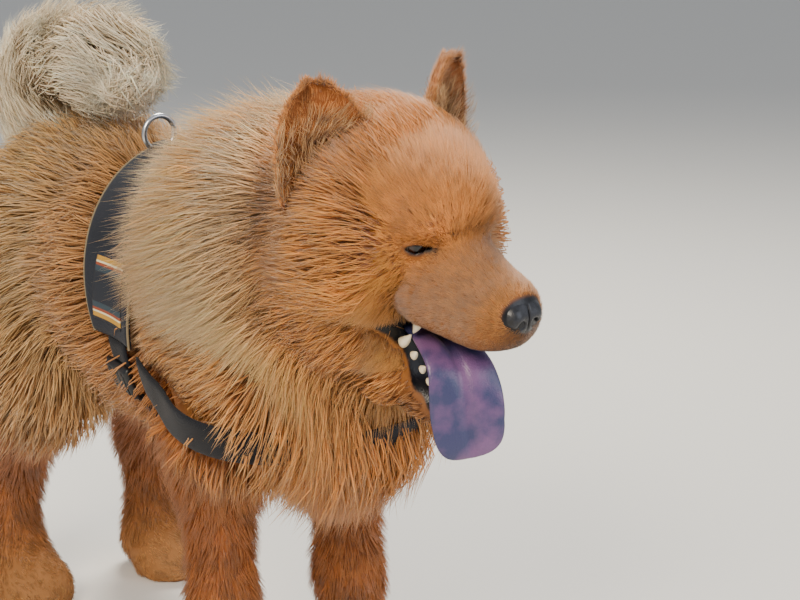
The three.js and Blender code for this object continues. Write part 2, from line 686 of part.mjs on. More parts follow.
// Locks of the coat
// A lock is a flat strand of three sides that follows the lie of the hair. Its root is sunk in the
// core, it rises to the tips of the coat, and it narrows to a point.
const LOCK_THICK = 9;
const LOCK_SECTION = [[1, -0.3], [0, 0.6], [-1, -0.3]];
const LOCK_RINGS = [[0.9, 0], [1, 0.3], [0.72, 0.66], [0, 1]]; // share of the width, of the length
function lockOf(field, root, lie, long, high, wide, thick, grow = 0) {
  const out = outward(field, root);
  const centres = [root.clone().addScaledVector(out, -Math.min(13, high * 0.5))];
  let here = root.clone();
  for (let i = 1; i < LOCK_RINGS.length; i++) {
    const step = long * (LOCK_RINGS[i][1] - LOCK_RINGS[i - 1][1]);
    const normal = outward(field, here);
    const way = lie.clone().addScaledVector(normal, -lie.dot(normal)).normalize();
    here = here.clone().addScaledVector(way, step);
    const lift = high * Math.sin((LOCK_RINGS[i][1] * Math.PI) / 2);
    here.addScaledVector(outward(field, here), lift - field(here));
    centres.push(here.clone());
  }
  const stations = centres.map((centre, i) => {
    const before = centres[Math.max(0, i - 1)];
    const after = centres[Math.min(centres.length - 1, i + 1)];
    const along = after.clone().sub(before).normalize();
    const across = new THREE.Vector3().crossVectors(along, out).normalize();
    const up = new THREE.Vector3().crossVectors(across, along);
    const share = LOCK_RINGS[i][0];
    return {
      centre,
      across: across.multiplyScalar((wide / 2) * share + 1.5 * grow),
      up: up.multiplyScalar(thick * share + 1.5 * grow),
    };
  });
  const [before, tip] = centres.slice(-2);
  tip.addScaledVector(tip.clone().sub(before).normalize(), 5 * grow);
  return sweep(stations, LOCK_SECTION, true);
}

// Roots spread over a solid's surface, no two nearer than the spacing where they are.
function rootsOn(made, spacing, wanted) {
  const mesh = made.getMesh();
  const corner = (t, i) => {
    const v = mesh.triVerts[3 * t + i] * mesh.numProp;
    return V(mesh.vertProperties[v], mesh.vertProperties[v + 1], mesh.vertProperties[v + 2]);
  };
  const roots = [];
  for (let n = 0; n < 9000; n++) {
    const t = Math.floor(random() * mesh.numTri);
    const a = random(), b = random() * (1 - a);
    const p = corner(t, 0).multiplyScalar(1 - a - b);
    p.addScaledVector(corner(t, 1), a).addScaledVector(corner(t, 2), b);
    if (!wanted(p)) continue;
    if (roots.every((q) => q.distanceTo(p) > spacing)) roots.push(p);
  }
  return roots;
}

// The locks of one node, and the same locks a little thicker, to cut others clear of them.
function locksOn(field, formOf, made, spacing, wanted, size) {
  const locks = [], fat = [];
  for (const root of rootsOn(made, spacing, wanted)) {
    const { coat, lie } = formOf(root);
    const { long, wide, high = (1 - CORE_SHARE) * coat } = size(coat);
    const shape = [vary(long, 0.15), vary(high, 0.12), vary(wide, 0.15), vary(LOCK_THICK, 0.2)];
    locks.push(lockOf(field, root, lie, ...shape));
    fat.push(lockOf(field, root, lie, ...shape, 0.4));
  }
  return { locks, fat };
}

// Assembly of the nodes
const finishes = {
  coat: { name: "chow_guard_hair", color: "#b0743f", roughness: 0.85 },
  plume: { name: "cream_plume_hair", color: "#e3cfae", roughness: 0.85 },
  leather: { name: "nose_leather", color: "#22242b", roughness: 0.45 },
  tongue: { name: "blue_black_tongue", color: "#565576", roughness: 0.4 },
  eye: { name: "dark_brown_eye", color: "#20120b", roughness: 0.08 },
  webbing: { name: "nylon_webbing", color: "#15181f", roughness: 0.8 },
  panel: { name: "padded_panel_fabric", color: "#1c2230", roughness: 0.9 },
  steel: { name: "plated_steel", color: "#b9bcc0", roughness: 0.3, metalness: 1 },
  label: { name: "woven_label", color: "#c9a94a", roughness: 0.8 },
  plastic: { name: "acetal_buckle", color: "#101114", roughness: 0.5 },
};
const materials = Object.fromEntries(
  Object.entries(finishes).map(([key, { name, ...look }]) => {
    const material = new THREE.MeshStandardMaterial(look);
    material.name = name;
    return [key, material];
  }),
);
const group = new THREE.Group();
group.name = "chow_chow";
function node(name, made, finish) {
  const mesh = made.getMesh();
  const places = new Float32Array(mesh.numVert * 3);
  for (let i = 0; i < mesh.numVert; i++) {
    for (let c = 0; c < 3; c++) places[3 * i + c] = mesh.vertProperties[i * mesh.numProp + c];
  }
  const geometry = new THREE.BufferGeometry();
  geometry.setAttribute("position", new THREE.BufferAttribute(places, 3));
  geometry.setIndex(new THREE.BufferAttribute(new Uint32Array(mesh.triVerts), 1));
  const object = new THREE.Mesh(geometry, materials[finish]);
  object.name = name;
  group.add(object);
}
const less = (made, cutters) => cutters.reduce((left, cutter) => left.subtract(cutter), made);

const eyesFat = Object.values(SIDES).map((s) => eyeball(s, EYE_RADIUS + 0.35));
const earsFat = Object.values(SIDES).map((s) => earOf(s, 0.35));
const lids = Object.values(SIDES).flatMap((s) => [lid(s, true), lid(s, false)]);

// The head with its lids and teeth, before the muzzle and jaw are parted from it.
const sockets = Object.values(SIDES).map(socket);
const bareFace = less(headForm, [mouthHole, ...sockets]);
const bareHead = bareFace.intersect(neckZone(0)).intersect(headZone(0));
const wholeHead = less(join([bareHead, ...lids]), [...eyesFat, noseFat, tongueFat, ...earsFat]);
const jaw = less(join([bareFace.intersect(jawZone(0)), ...lowerTeeth]), [tongueFat]);
const snout = less(join([bareFace, ...lids, ...upperTeeth]), [...eyesFat, noseFat, tongueFat]);
const muzzle = snout.intersect(muzzleZone(0)).subtract(jawZone(GAP));
const head = less(wholeHead, [muzzleZone(GAP), jawZone(GAP)]);
node("muzzle", largest(muzzle), "coat");
node("lower_jaw", largest(jaw), "coat");
node("tongue", tongue, "tongue");
node("nose", largest(nose), "leather");
for (const [side, s] of Object.entries(SIDES)) {
  node(`eye_${side}`, eyeball(s, EYE_RADIUS), "eye");
  node(`ear_${side}`, largest(earOf(s, 0)), "coat");
}

const muzzleAndJaw = [muzzleZone(GAP), jawZone(GAP)];
const faceCuts = [mouthHole, tongueFat, ...earsFat];
const legZones = (grow) =>
  Object.values(SIDES).flatMap((s) => [sideZone(...FORE, s, grow), sideZone(...HIND, s, grow)]);
const neckPart = bodyForm.intersect(neckZone(0));
const neck = less(neckPart, [headZone(GAP), ...muzzleAndJaw, ...faceCuts]);
const trunk = less(bodyForm, [neckZone(GAP), ...muzzleAndJaw, ...faceCuts, ...legZones(GAP)]);

const legs = {}, legFats = [];
for (const [side, s] of Object.entries(SIDES)) {
  for (const [leg, box, low, high] of [
    ["fore", FORE, [-120, 0, -30], [120, 180, 300]],
    ["hind", HIND, [-560, 0, -30], [-230, 200, 350]],
  ]) {
    const [inner, outer] = [low[1] * s, high[1] * s].sort((a, b) => a - b);
    const form = legForm([low[0], inner, low[2]], [high[0], outer, high[2]]);
    const whole = form.intersect(sideZone(...box, s, 0));
    legFats.push(grown(form, 0.4).intersect(sideZone(...box, s, 0.4)));
    legs[`${leg}leg_${side}`] = above(whole, PAW_TOP + GAP);
    const foot = whole.trimByPlane([0, 0, -1], -PAW_TOP);
    node(`${leg}paw_${side}`, largest(above(foot, 0)), "coat");
  }
}

// Tail: carried up and curled over the back.
const TAIL = [
  [-436, 0, 470, 28],
  [-462, -2, 530, 24],
  [-428, -6, 578, 20],
  [-352, -10, 596, 16],
  [-296, -13, 588, 11],
];
const TAIL_COAT = 66;
const TAIL_LIE = [V(-0.3, 0, 1), V(0.3, 0, 1), V(0.9, 0, 0.2), V(0.9, 0, -0.3)];
const tailMasses = TAIL.slice(1).map(([x, y, z, r], i) => {
  const [px, py, pz, pr] = TAIL[i];
  return limb(V(px, py, pz), V(x, y, z), pr, r, TAIL_COAT * (i === 0 ? 0.6 : 1), TAIL_LIE[i]);
});
const tailForm = (p) => blendOf(tailMasses, p, 10);
function tailCore(p) {
  const { skin, coat } = tailForm(p);
  return skin - CORE_SHARE * coat;
}
const tailSolid = surface(tailCore, [-620, -160, 380], [-180, 140, 720], [26, 24, 24]);

// Harness, laid on the core and cut to it.
const coreCutters = [bodyFat, ...legFats];
const saddleFat = saddleOf(0.5);
const strapFat = chestStrapOf(0.5);
const harness = {
  harness_saddle: [less(saddle, coreCutters), "panel"],
  harness_chest_strap: [less(chestStrap, [...coreCutters, saddleFat]), "webbing"],
  harness_girth_strap: [less(girth, [...coreCutters, saddleFat, strapFat]), "webbing"],
};
const girthFat = girthOf(0.5);
const sewnOn = (made) => less(made, [saddleFat, girthFat, ...coreCutters]);
for (const side of Object.keys(SIDES)) {
  harness[`harness_label_${side}`] = [less(labels[side], [saddleFat]), "label"];
  harness[`harness_buckle_${side}`] = [sewnOn(buckles[side]), "plastic"];
}
harness.harness_handle = [less(handle, [saddleFat]), "webbing"];
harness.harness_ring = [less(ring, [saddleFat]), "steel"];
for (const [name, [made, finish]] of Object.entries(harness)) node(name, largest(made), finish);
const hardware = [...Object.values(labels), ...Object.values(buckles), handle, ring];
const harnessFats = [saddleFat, strapFat, girthFat, ...hardware.map((made) => grown(made, 1))];

// The coat's locks, one node after another; each is cut clear of what stands before it.
const q = V(0, 0, 0);
const inHeadFrame = (p) => q.copy(p).applyMatrix4(toHead);
const cheeks = locksOn(coreAt, formAt, head, 82, (p) => inHeadFrame(p).x < -62 && q.z < 6, (coat) => ({
  long: 30 + coat,
  wide: 40,
}));
const ruff = locksOn(coreAt, formAt, neck, 74, (p) => inHeadFrame(p).x < -100, (coat) => ({
  long: 1.15 * coat,
  wide: 56,
}));
const strapBelt = (p) => p.z > 262 && p.z < 350 && p.x > -60;
const saddleBelt = (p) => p.x < SADDLE_FRONT + 45 && p.x > SADDLE_REAR - 14;
const body = locksOn(
  coreAt,
  formAt,
  trunk,
  116,
  (p) => p.z > 225 && !(saddleBelt(p) && p.z > 330) && !strapBelt(p) && !(p.x > -20 && p.z > 355),
  (coat) => (coat > 54 ? { long: 1.2 * coat, wide: 54 } : { long: 1.8 * coat, wide: 66 }),
);
const breeches = Object.fromEntries(
  Object.entries(legs).map(([name, made]) => [
    name,
    name.startsWith("hind")
      ? locksOn(coreAt, formAt, made, 90, (p) => p.z > 236 && p.x < -320, (coat) => ({
          long: 1.5 * coat,
          wide: 48,
        }))
      : { locks: [], fat: [] },
  ]),
);
const plume = locksOn(
  tailCore,
  tailForm,
  tailSolid,
  74,
  (p) => p.z > 500,
  (coat) => ({ long: 1.2 * coat, wide: 46 }),
);
const faceFats = [...eyesFat, noseFat, tongueFat, ...earsFat, ...muzzleAndJaw];
const headCore = grown(headForm, 0.5).intersect(headZone(GAP)).intersect(neckZone(GAP));
const neckCore = bodyFat.intersect(neckZone(GAP)).subtract(headZone(0));
const trunkCore = less(bodyFat, [neckZone(0), ...legZones(0)]);
const legCore = join(legFats);
const standing = [...faceFats, ...harnessFats]; // what the locks still to come must clear
// Joins a node's locks to its core, cut clear of the other cores and of what stands already.
function coated(name, core, set, cores, finish) {
  if (!set.locks.length) return node(name, largest(core), finish);
  const locks = less(join(set.locks), [...cores, ...standing]);
  standing.push(join([...set.fat, locks]));
  node(name, mended(join([core, locks])), finish);
}
coated("head", head, cheeks, [neckCore, trunkCore], "coat");
coated("neck", neck, ruff, [headCore, trunkCore, legCore], "coat");
coated("torso", trunk, body, [headCore, neckCore, legCore, grown(tailSolid, 1.2)], "coat");
for (const [name, made] of Object.entries(legs)) {
  const opposite = legFats.filter((_, i) => i !== Object.keys(legs).indexOf(name));
  coated(name, made, breeches[name], [neckCore, trunkCore, ...opposite], "coat");
}
coated("tail", less(tailSolid, [bodyFat]), plume, [bodyFat, legCore], "plume");

const bounds = new THREE.Box3().setFromObject(group);
const middle = bounds.getCenter(new THREE.Vector3());
group.position.set(-middle.x, -middle.y, -bounds.min.z);
group.updateMatrixWorld(true);
export default group;
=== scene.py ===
"""A life-size chow chow in a padded harness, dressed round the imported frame."""
import math

import bpy
import numpy as np
from mathutils import Matrix, Vector, kdtree


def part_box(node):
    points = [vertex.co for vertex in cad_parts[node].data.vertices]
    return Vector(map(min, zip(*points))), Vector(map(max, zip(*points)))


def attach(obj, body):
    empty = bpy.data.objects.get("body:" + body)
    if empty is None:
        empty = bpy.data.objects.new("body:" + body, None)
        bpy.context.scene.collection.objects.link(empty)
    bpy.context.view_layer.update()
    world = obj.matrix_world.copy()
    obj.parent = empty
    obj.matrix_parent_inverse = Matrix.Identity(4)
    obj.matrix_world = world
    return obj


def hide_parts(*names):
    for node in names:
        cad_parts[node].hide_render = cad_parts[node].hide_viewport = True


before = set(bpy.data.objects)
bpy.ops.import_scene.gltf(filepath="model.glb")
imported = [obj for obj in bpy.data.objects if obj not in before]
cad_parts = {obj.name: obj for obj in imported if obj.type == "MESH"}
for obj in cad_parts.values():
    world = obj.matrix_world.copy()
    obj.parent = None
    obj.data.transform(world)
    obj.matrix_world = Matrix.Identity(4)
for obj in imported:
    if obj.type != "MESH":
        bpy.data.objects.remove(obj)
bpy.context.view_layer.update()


# Named sizes of the dog, in millimetres and degrees, as in the solids
WITHERS = 515
TRUNK = 440
CHEST_DEPTH = 250
CHEST_WIDTH = 218
FORE_TRACK = 146
HIND_TRACK = 172
HIND_FOOT = -428  # along the body, where the front feet are at 0
TOES = ((-1.5, 56), (-0.5, 64), (0.5, 64), (1.5, 56))  # place across the foot, reach ahead of it
HEAD_TURN = 11
HEAD_DROP = 12
HEAD_TILT = 2
HEAD_AT = (236, 20, 503)
GAPE = 30
LIP_CORNER = (-24, 0, -77)
LOWER_LIP = 50
EYE = (-9, 38, 0)
EYE_RADIUS = 11.5
CORE_SHARE = 0.42
SADDLE_FRONT = -50
SADDLE_REAR = -196
TRUNK_AXIS = 392  # height of the line that saddle and girth strap go round
WRAP = 104  # from the middle of the saddle or of the chest strap to its ends
GIRTH_FRONT = -92
GIRTH_WIDTH = 36
STRAP_START = -22  # along the body, the middle of the chest strap's curve
STRAP_TOP = 318
STRAP_WIDTH = 38
STRAP_LIFT = 40  # from the middle of the chest strap to its ends
SHARE = 1.0  # of the strands of the coat
BODY_BLEND = 13
HEAD_BLEND = 7
RNG = np.random.default_rng(20)
SIDES = {"right": -1, "left": 1}


def linear(hexa, alpha=1.0):
    """An sRGB hex colour as linear values."""
    parts = [int(hexa[i : i + 2], 16) / 255 for i in (1, 3, 5)]
    return [c / 12.92 if c <= 0.04045 else ((c + 0.055) / 1.055) ** 2.4 for c in parts] + [alpha]


def pair(root, tip):
    """Colours of a hair's root and tip, as six linear values."""
    return np.array(linear(root)[:3] + linear(tip)[:3])


def unit(v):
    v = np.asarray(v, float)
    return v / np.maximum(np.linalg.norm(v, axis=-1, keepdims=True), 1e-9)


def turned(matrix, p):
    """Points p moved by a 4x4 matrix."""
    m = np.array(matrix)
    return np.asarray(p, float) @ m[:3, :3].T + m[:3, 3]


def rotated(matrix, v):
    return np.asarray(v, float) @ np.array(matrix)[:3, :3].T


HEAD = (
    Matrix.Translation(HEAD_AT)
    @ Matrix.Rotation(math.radians(HEAD_TURN), 4, "Z")
    @ Matrix.Rotation(math.radians(HEAD_DROP), 4, "Y")
    @ Matrix.Rotation(math.radians(HEAD_TILT), 4, "X")
)
TO_HEAD = HEAD.inverted()
JAW = HEAD @ Matrix.Translation(LIP_CORNER) @ Matrix.Rotation(math.radians(LOWER_LIP), 4, "Y")
JAW_HINGE = Vector((-75, 0, -40))


def on_jaw(x, y, z):
    """A point given with the mouth shut, moved as the jaw opens."""
    turn = Matrix.Rotation(math.radians(GAPE), 3, "Y")
    return tuple(turn @ (Vector((x, y, z)) - JAW_HINGE) + JAW_HINGE)


# Masses of the body. Each has the depth and lie of its coat and the coat's colours, root and tip.
def limb(a, b, ra, rb, coat, lie, tint, wide=1.0):
    """A cone with round ends; wide is its breadth over its depth."""
    return dict(
        kind="limb", a=np.array(a, float), b=np.array(b, float), ra=ra, rb=rb, wide=wide,
        coat=coat, lie=unit(lie), hair=pair(*tint),
    )


def ball(c, halves, coat, lie, tint):
    return dict(
        kind="ball", c=np.array(c, float), halves=halves, coat=coat, lie=unit(lie), hair=pair(*tint)
    )


def oval(p, centre, halves):
    """Distance to an ellipsoid, nearly."""
    q = (p - np.array(centre)) / np.array(halves)
    near = np.sqrt((q * q).sum(1))
    steep = np.sqrt(((q / np.array(halves)) ** 2).sum(1))
    return near * (near - 1) / np.maximum(steep, 1e-6)


def distance(mass, p):
    if mass["kind"] == "limb":
        axis = mass["b"] - mass["a"]
        q = p - mass["a"]
        along = np.clip((q @ axis) / (axis @ axis), 0, 1)
        off = q - along[:, None] * axis
        off[:, 1] /= mass["wide"]
        return np.sqrt((off * off).sum(1)) - (mass["ra"] + along * (mass["rb"] - mass["ra"]))
    return oval(p, mass["c"], mass["halves"])


# Root and tip colours of the hair in each region. The darker roots are partly the hair's own colour and
# partly painted shade deep in the coat
BACK = ("#bd8440", "#f6cf8e")
FLANK = ("#b0692a", "#eeac60")
RUFF = ("#c27a2e", "#fbcb7c")
CHEST = ("#b4611f", "#eea24e")
LEG = ("#a05421", "#da8a3e")
SHIN = ("#9f5c28", "#d58b45")
PAW = ("#a36a38", "#dca565")
BREECH_HAIR = ("#bb8640", "#f4d092")
CROWN = ("#b4641f", "#f2a753")
BROW = ("#98541f", "#de9548")
CHEEK = ("#ba6a20", "#f6b156")
SNOUT = ("#965423", "#d99648")
CHIN_HAIR = ("#7d4a26", "#c98c50")
PLUME = ("#e0c193", "#fff2d8")
DARK_MARK = pair("#2a2320", "#5d5149")
BEHIND_EAR = pair("#3d2212", "#7a4c2a")
# Painted highlight of the back-lit rim of the ruff
RUFF_RIM_HIGHLIGHT = pair("#c6985c", "#f8dfb2")
# Painted shade deep in the ear's cup
EAR_CUP_SHADE = pair("#45280f", "#a87444")
EAR_PLUSH = pair("#84491c", "#dc9650")
EAR_CUP_HAIR = pair("#8a5c36", "#dcb078")
BARE_SKIN = linear("#0c0c10")[:3]
PLUME_SKIN = linear("#cdab79")[:3]

BACKWARD = (-1, 0, -0.3)
DOWN = (0, 0, -1)
BREECH = (-0.6, 0, -0.8)
rib_height = WITHERS - CHEST_DEPTH / 2
rib_wide = CHEST_WIDTH / CHEST_DEPTH
rump = -TRUNK + 62
body_masses = [
    limb((-22, 0, rib_height - 6), (-185, 0, rib_height - 2), 120, 112, 44, BACKWARD, FLANK, rib_wide),
    limb((-185, 0, 398), (-325, 0, 408), 100, 92, 44, BACKWARD, BACK, 0.93),
    limb((-325, 0, 408), (rump - 12, 0, 412), 92, 88, 50, BACKWARD, BACK, 0.95),
    limb((-15, 0, 372), (62, 0, 356), 100, 76, 66, (0.15, 0, -1), CHEST),
    limb((-10, 0, 450), (112, 6, 506), 88, 70, 88, (-0.7, 0, -0.7), RUFF),
    limb((60, 4, 400), (120, 10, 440), 70, 50, 58, (-0.1, 0, -1), RUFF),
]
for s in SIDES.values():
    fore = s * FORE_TRACK / 2
    hind = s * HIND_TRACK / 2
    body_masses += [
        limb((-28, s * 48, 452), (56, s * 74, 345), 52, 48, 42, BACKWARD, RUFF),
        limb((56, s * 74, 340), (-8, fore, 268), 46, 38, 26, (-0.4, 0, -0.9), CHEST),
        limb((-8, fore, 268), (0, fore, 118), 35, 26, 15, DOWN, LEG),
        limb((0, fore, 118), (8, fore, 40), 26, 27, 11, DOWN, SHIN),
        limb((10, fore, 30), (38, fore, 24), 29, 25, 6, (0.7, 0, -0.7), PAW, 1.12),
        limb((rump + 12, s * 56, 402), (-332, hind, 290), 78, 60, 46, BREECH, BREECH_HAIR),
        limb((-336, hind, 276), (-424, hind, 158), 50, 29, 24, BREECH, LEG),
        limb((-424, hind, 156), (-418, hind, 46), 27, 25, 12, DOWN, SHIN),
        limb((-414, hind, 30), (-392, hind, 24), 28, 24, 6, (0.7, 0, -0.7), PAW, 1.12),
    ]
    for step, reach in TOES:
        for x, y in ((0, fore), (HIND_FOOT, hind)):
            toe = (x + reach, y + step * 15.5, 15)
            body_masses.append(ball(toe, (18, 10, 15), 4, (1, 0, 0), PAW))

FACE_LIE = (-1, 0, 0.15)
head_masses = [
    ball((-76, 0, 18), (82, 70, 58), 26, (-1, 0, 0.35), CROWN),
    ball((-26, 0, 22), (44, 46, 38), 15, (-0.8, 0, 0.6), BROW),
    limb((2, 0, -28), (62, 0, -40), 38, 28, 5, FACE_LIE, SNOUT, 1.06),
    ball((70, 0, -46), (18, 26, 24), 3, FACE_LIE, SNOUT),
    limb((-60, 0, -96), (-112, 0, -80), 44, 62, 62, (-0.5, 0, -0.9), RUFF),
]
for s in SIDES.values():
    head_masses += [
        ball((-9, s * 33, 19), (20, 21, 13), 6, (-0.7, s * 0.5, 0.5), BROW),
        ball((-58, s * 50, -20), (44, 39, 46), 38, (-0.65, s * 0.7, -0.2), CHEEK),
        ball((-72, s * 60, -16), (40, 26, 50), 34, (-0.8, s * 0.5, -0.3), CHEEK),
        ball((-66, s * 42, -66), (44, 32, 42), 38, (-0.7, s * 0.2, -0.7), CHEEK),
        limb((8, s * 26, -50), (58, s * 16, -53), 23, 23, 5, (-1, s * 0.1, -0.1), SNOUT),
        limb(on_jaw(-52, s * 34, -68), on_jaw(12, s * 24, -94), 25, 18, 12, (-0.8, 0, -0.5), CHEEK),
    ]
head_masses.append(
    limb(on_jaw(8, 0, -98), on_jaw(54, 0, -95), 21, 16, 7, (-1, 0, -0.2), CHIN_HAIR, 1.35)
)
TAIL = [
    (-436, 0, 470, 28),
    (-462, -2, 530, 24),
    (-428, -6, 578, 20),
    (-352, -10, 596, 16),
    (-296, -13, 588, 11),
]
TAIL_COAT = 66
TAIL_LIE = [(-0.3, 0, 1), (0.3, 0, 1), (0.9, 0, 0.2), (0.9, 0, -0.3)]
tail_masses = [
    limb(a[:3], b[:3], a[3], b[3], TAIL_COAT * (0.6 if i == 0 else 1), TAIL_LIE[i], PLUME)
    for i, (a, b) in enumerate(zip(TAIL, TAIL[1:]))
]
TAIL_BLEND = 10


def blend(masses, p, k, full):
    """Distance to the smooth union of masses; full adds coat depth, lie and hair colours."""
    total = np.full(len(p), 1e-30)
    coat = np.zeros(len(p))
    lie = np.zeros((len(p), 3))
    hair = np.zeros((len(p), 6))
    for m in masses:
        share = np.exp(-np.minimum(distance(m, p), 300) / k)
        total += share
        if full:
            coat += share * m["coat"]
            lie += share[:, None] * m["lie"]
            hair += share[:, None] * m["hair"]
    skin = -k * np.log(total)
    if not full:
        return skin
    return skin, coat / total, lie / total[:, None], hair / total[:, None]


def form(p, full=False):
    """The whole body's field at p, head included."""
    trunk = blend(body_masses, p, BODY_BLEND, full)
    head = blend(head_masses, turned(TO_HEAD, p), HEAD_BLEND, full)
    a, b = (trunk[0], head[0]) if full else (trunk, head)
    low = np.minimum(a, b)
    skin = low - BODY_BLEND * np.log1p(np.exp((low - np.maximum(a, b)) / BODY_BLEND))
    if not full:
        return skin
    _, coat_a, lie_a, hair_a = trunk
    _, coat_b, lie_b, hair_b = head
    share = 1 / (1 + np.exp(np.clip((b - a) / BODY_BLEND, -60, 60)))
    w = share[:, None]
    lie = unit(w * rotated(HEAD, lie_b) + (1 - w) * lie_a)
    return skin, share * coat_b + (1 - share) * coat_a, lie, w * hair_b + (1 - w) * hair_a


def tail_form(p, full=False):
    return blend(tail_masses, p, TAIL_BLEND, full)


def slope(field, p, step=1.5):
    """Unit outward direction of a field."""
    g = np.empty_like(p)
    for axis in range(3):
        d = np.zeros(3)
        d[axis] = step
        g[:, axis] = field(p + d) - field(p - d)
    return unit(g)


def across_faces(vertices, triangles):
    """The ways that triangles face, as long as twice their areas."""
    a, b, c = (vertices[triangles[:, i]] for i in range(3))
    return np.cross(b - a, c - a)


def nearest(places, p):
    """Index of the nearest of the places, for each point of p."""
    tree = kdtree.KDTree(len(places))
    for i, place in enumerate(places):
        tree.insert(place, i)
    tree.balance()
    return np.array([tree.find(x)[1] for x in p])


def halved(quads):
    """Two triangles for each face of four corners."""
    return np.concatenate([quads[:, [0, 1, 2]], quads[:, [0, 2, 3]]])


def surface(field, low, high, cell):
    """Vertices and triangles where a field is 0 in a box, through the cells that it crosses."""
    low, high = np.array(low, float), np.array(high, float)
    n = np.round((high - low) / cell).astype(int) + 1
    step = (high - low) / (n - 1)
    axes = [low[i] + step[i] * np.arange(n[i]) for i in range(3)]
    values = np.empty(n, np.float32)
    yz = np.stack(np.meshgrid(axes[1], axes[2], indexing="ij"), -1).reshape(-1, 2)
    for i in range(n[0]):
        p = np.column_stack([np.full(len(yz), axes[0][i]), yz])
        values[i] = field(p).reshape(n[1], n[2])
    for axis in range(3):
        for end in (0, -1):
            index = [slice(None)] * 3
            index[axis] = end
            values[tuple(index)] = step[0] / 2  # closed at the sides of the box
    inside = values < 0
    count = np.zeros(n - 1, np.int8)
    offsets = [(c & 1, (c >> 1) & 1, c >> 2) for c in range(8)]
    for a, b, c in offsets:
        count += inside[a : n[0] - 1 + a, b : n[1] - 1 + b, c : n[2] - 1 + c]
    cells = np.argwhere((count > 0) & (count < 8))
    total = np.zeros((len(cells), 3))
    hits = np.zeros(len(cells))
    for a in offsets:
        for b in offsets:
            if a >= b or sum(abs(x - y) for x, y in zip(a, b)) != 1:
                continue
            va = values[tuple((cells + a).T)]
            vb = values[tuple((cells + b).T)]
            cross = (va < 0) != (vb < 0)
            t = np.where(cross, va / np.where(cross, va - vb, 1), 0)
            at = np.array(a) + t[:, None] * (np.array(b) - np.array(a))
            total += at * cross[:, None]
            hits += cross
    vertices = low + (cells + total / hits[:, None]) * step
    lookup = np.full(n, -1, np.int32)
    lookup[tuple(cells.T)] = np.arange(len(cells))
    triangles = []
    around = {
        0: [(0, 1, 1), (0, 0, 1), (0, 0, 0), (0, 1, 0)],
        1: [(1, 0, 1), (1, 0, 0), (0, 0, 0), (0, 0, 1)],
        2: [(1, 1, 0), (0, 1, 0), (0, 0, 0), (1, 0, 0)],
    }
    for axis in range(3):
        ahead = np.zeros(3, int)
        ahead[axis] = 1
        a = inside[: n[0] - 1, : n[1] - 1, : n[2] - 1]
        b = inside[tuple(slice(start, start + most - 1) for start, most in zip(ahead, n))]
        edge = np.argwhere(a != b)
        quad = np.stack([lookup[tuple((edge - o).T)] for o in around[axis]], 1)
        quad = np.where(a[tuple(edge.T)][:, None], quad, quad[:, ::-1])
        triangles.append(halved(quad))
    return vertices, np.concatenate(triangles)


def mesh_object(name, vertices, faces, finish):
    """An object from arrays in millimetres. All faces have the same number of corners."""
    faces = np.asarray(faces, np.int32)
    mesh = bpy.data.meshes.new(name)
    mesh.vertices.add(len(vertices))
    mesh.vertices.foreach_set("co", ((np.asarray(vertices) + SHIFT) / 1000).astype(np.float32).ravel())
    mesh.loops.add(faces.size)
    mesh.loops.foreach_set("vertex_index", faces.ravel())
    mesh.polygons.add(len(faces))
    mesh.polygons.foreach_set("loop_start", np.arange(0, faces.size, faces.shape[1], dtype=np.int32))
    mesh.update(calc_edges=True)
    mesh.polygons.foreach_set("use_smooth", np.ones(len(faces), bool))
    mesh.materials.append(finish)
    made = bpy.data.objects.new(name, mesh)
    bpy.context.scene.collection.objects.link(made)
    return made


def placed(made, slot, *nodes):
    """Puts a piece on the body and hides the nodes that it stands for. Its slot is not used."""
    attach(made, "root")
    if nodes:
        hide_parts(*nodes)
    return made


def paint(made, name, values):
    """A colour or number at each vertex of an object."""
    values = np.asarray(values, np.float32)
    if values.ndim == 1:
        made.data.attributes.new(name, "FLOAT", "POINT").data.foreach_set("value", values)
        return
    rgba = np.ones((len(values), 4), np.float32)
    rgba[:, : values.shape[1]] = values
    made.data.attributes.new(name, "FLOAT_COLOR", "POINT").data.foreach_set("color", rgba.ravel())


def unwrap(made):
    """Unwraps an object by its shape and returns the corner coordinates of its triangles."""
    made.data.uv_layers.new(name="OFBake")
    bpy.context.view_layer.objects.active = made
    bpy.ops.object.select_all(action="DESELECT")
    made.select_set(True)
    bpy.ops.object.mode_set(mode="EDIT")
    bpy.ops.mesh.select_all(action="SELECT")
    bpy.ops.uv.smart_project(angle_limit=math.radians(66), island_margin=0.002)
    bpy.ops.object.mode_set(mode="OBJECT")
    uv = np.empty(len(made.data.loops) * 2, np.float32)
    made.data.uv_layers["OFBake"].data.foreach_get("uv", uv)
    return uv.reshape(-1, 3, 2)


# Materials
def node_in(tree, kind, settings=None, inputs=None):
    """Adds a node with its settings, and its inputs as values or as links from other sockets."""
    made = tree.nodes.new(kind)
    for name, value in (settings or {}).items():
        setattr(made, name, value)
    for name, value in (inputs or {}).items():
        if isinstance(value, bpy.types.NodeSocket):
            tree.links.new(value, made.inputs[name])
        else:
            made.inputs[name].default_value = value
    return made


def material(name, numbers):
    """A new material with its node tree and its main shader, with numbers set on its sockets."""
    made = bpy.data.materials.new(name)
    made.use_nodes = True
    shader = made.node_tree.nodes["Principled BSDF"]
    for socket, value in numbers.items():
        shader.inputs[socket].default_value = value
    return made, made.node_tree, shader


def place_of(tree):
    return node_in(tree, "ShaderNodeTexCoord").outputs["Object"]


def colour_ramp(tree, factor, stops):
    """Colours along a factor, from places and hex colours in their order."""
    made = node_in(tree, "ShaderNodeValToRGB", inputs={"Fac": factor})
    elements = made.color_ramp.elements
    elements[0].position, elements[1].position = stops[0][0], stops[-1][0]
    for position, _ in stops[1:-1]:
        elements.new(position)
    for element, (_, hexa) in zip(elements, stops):
        element.color = linear(hexa)
    return made


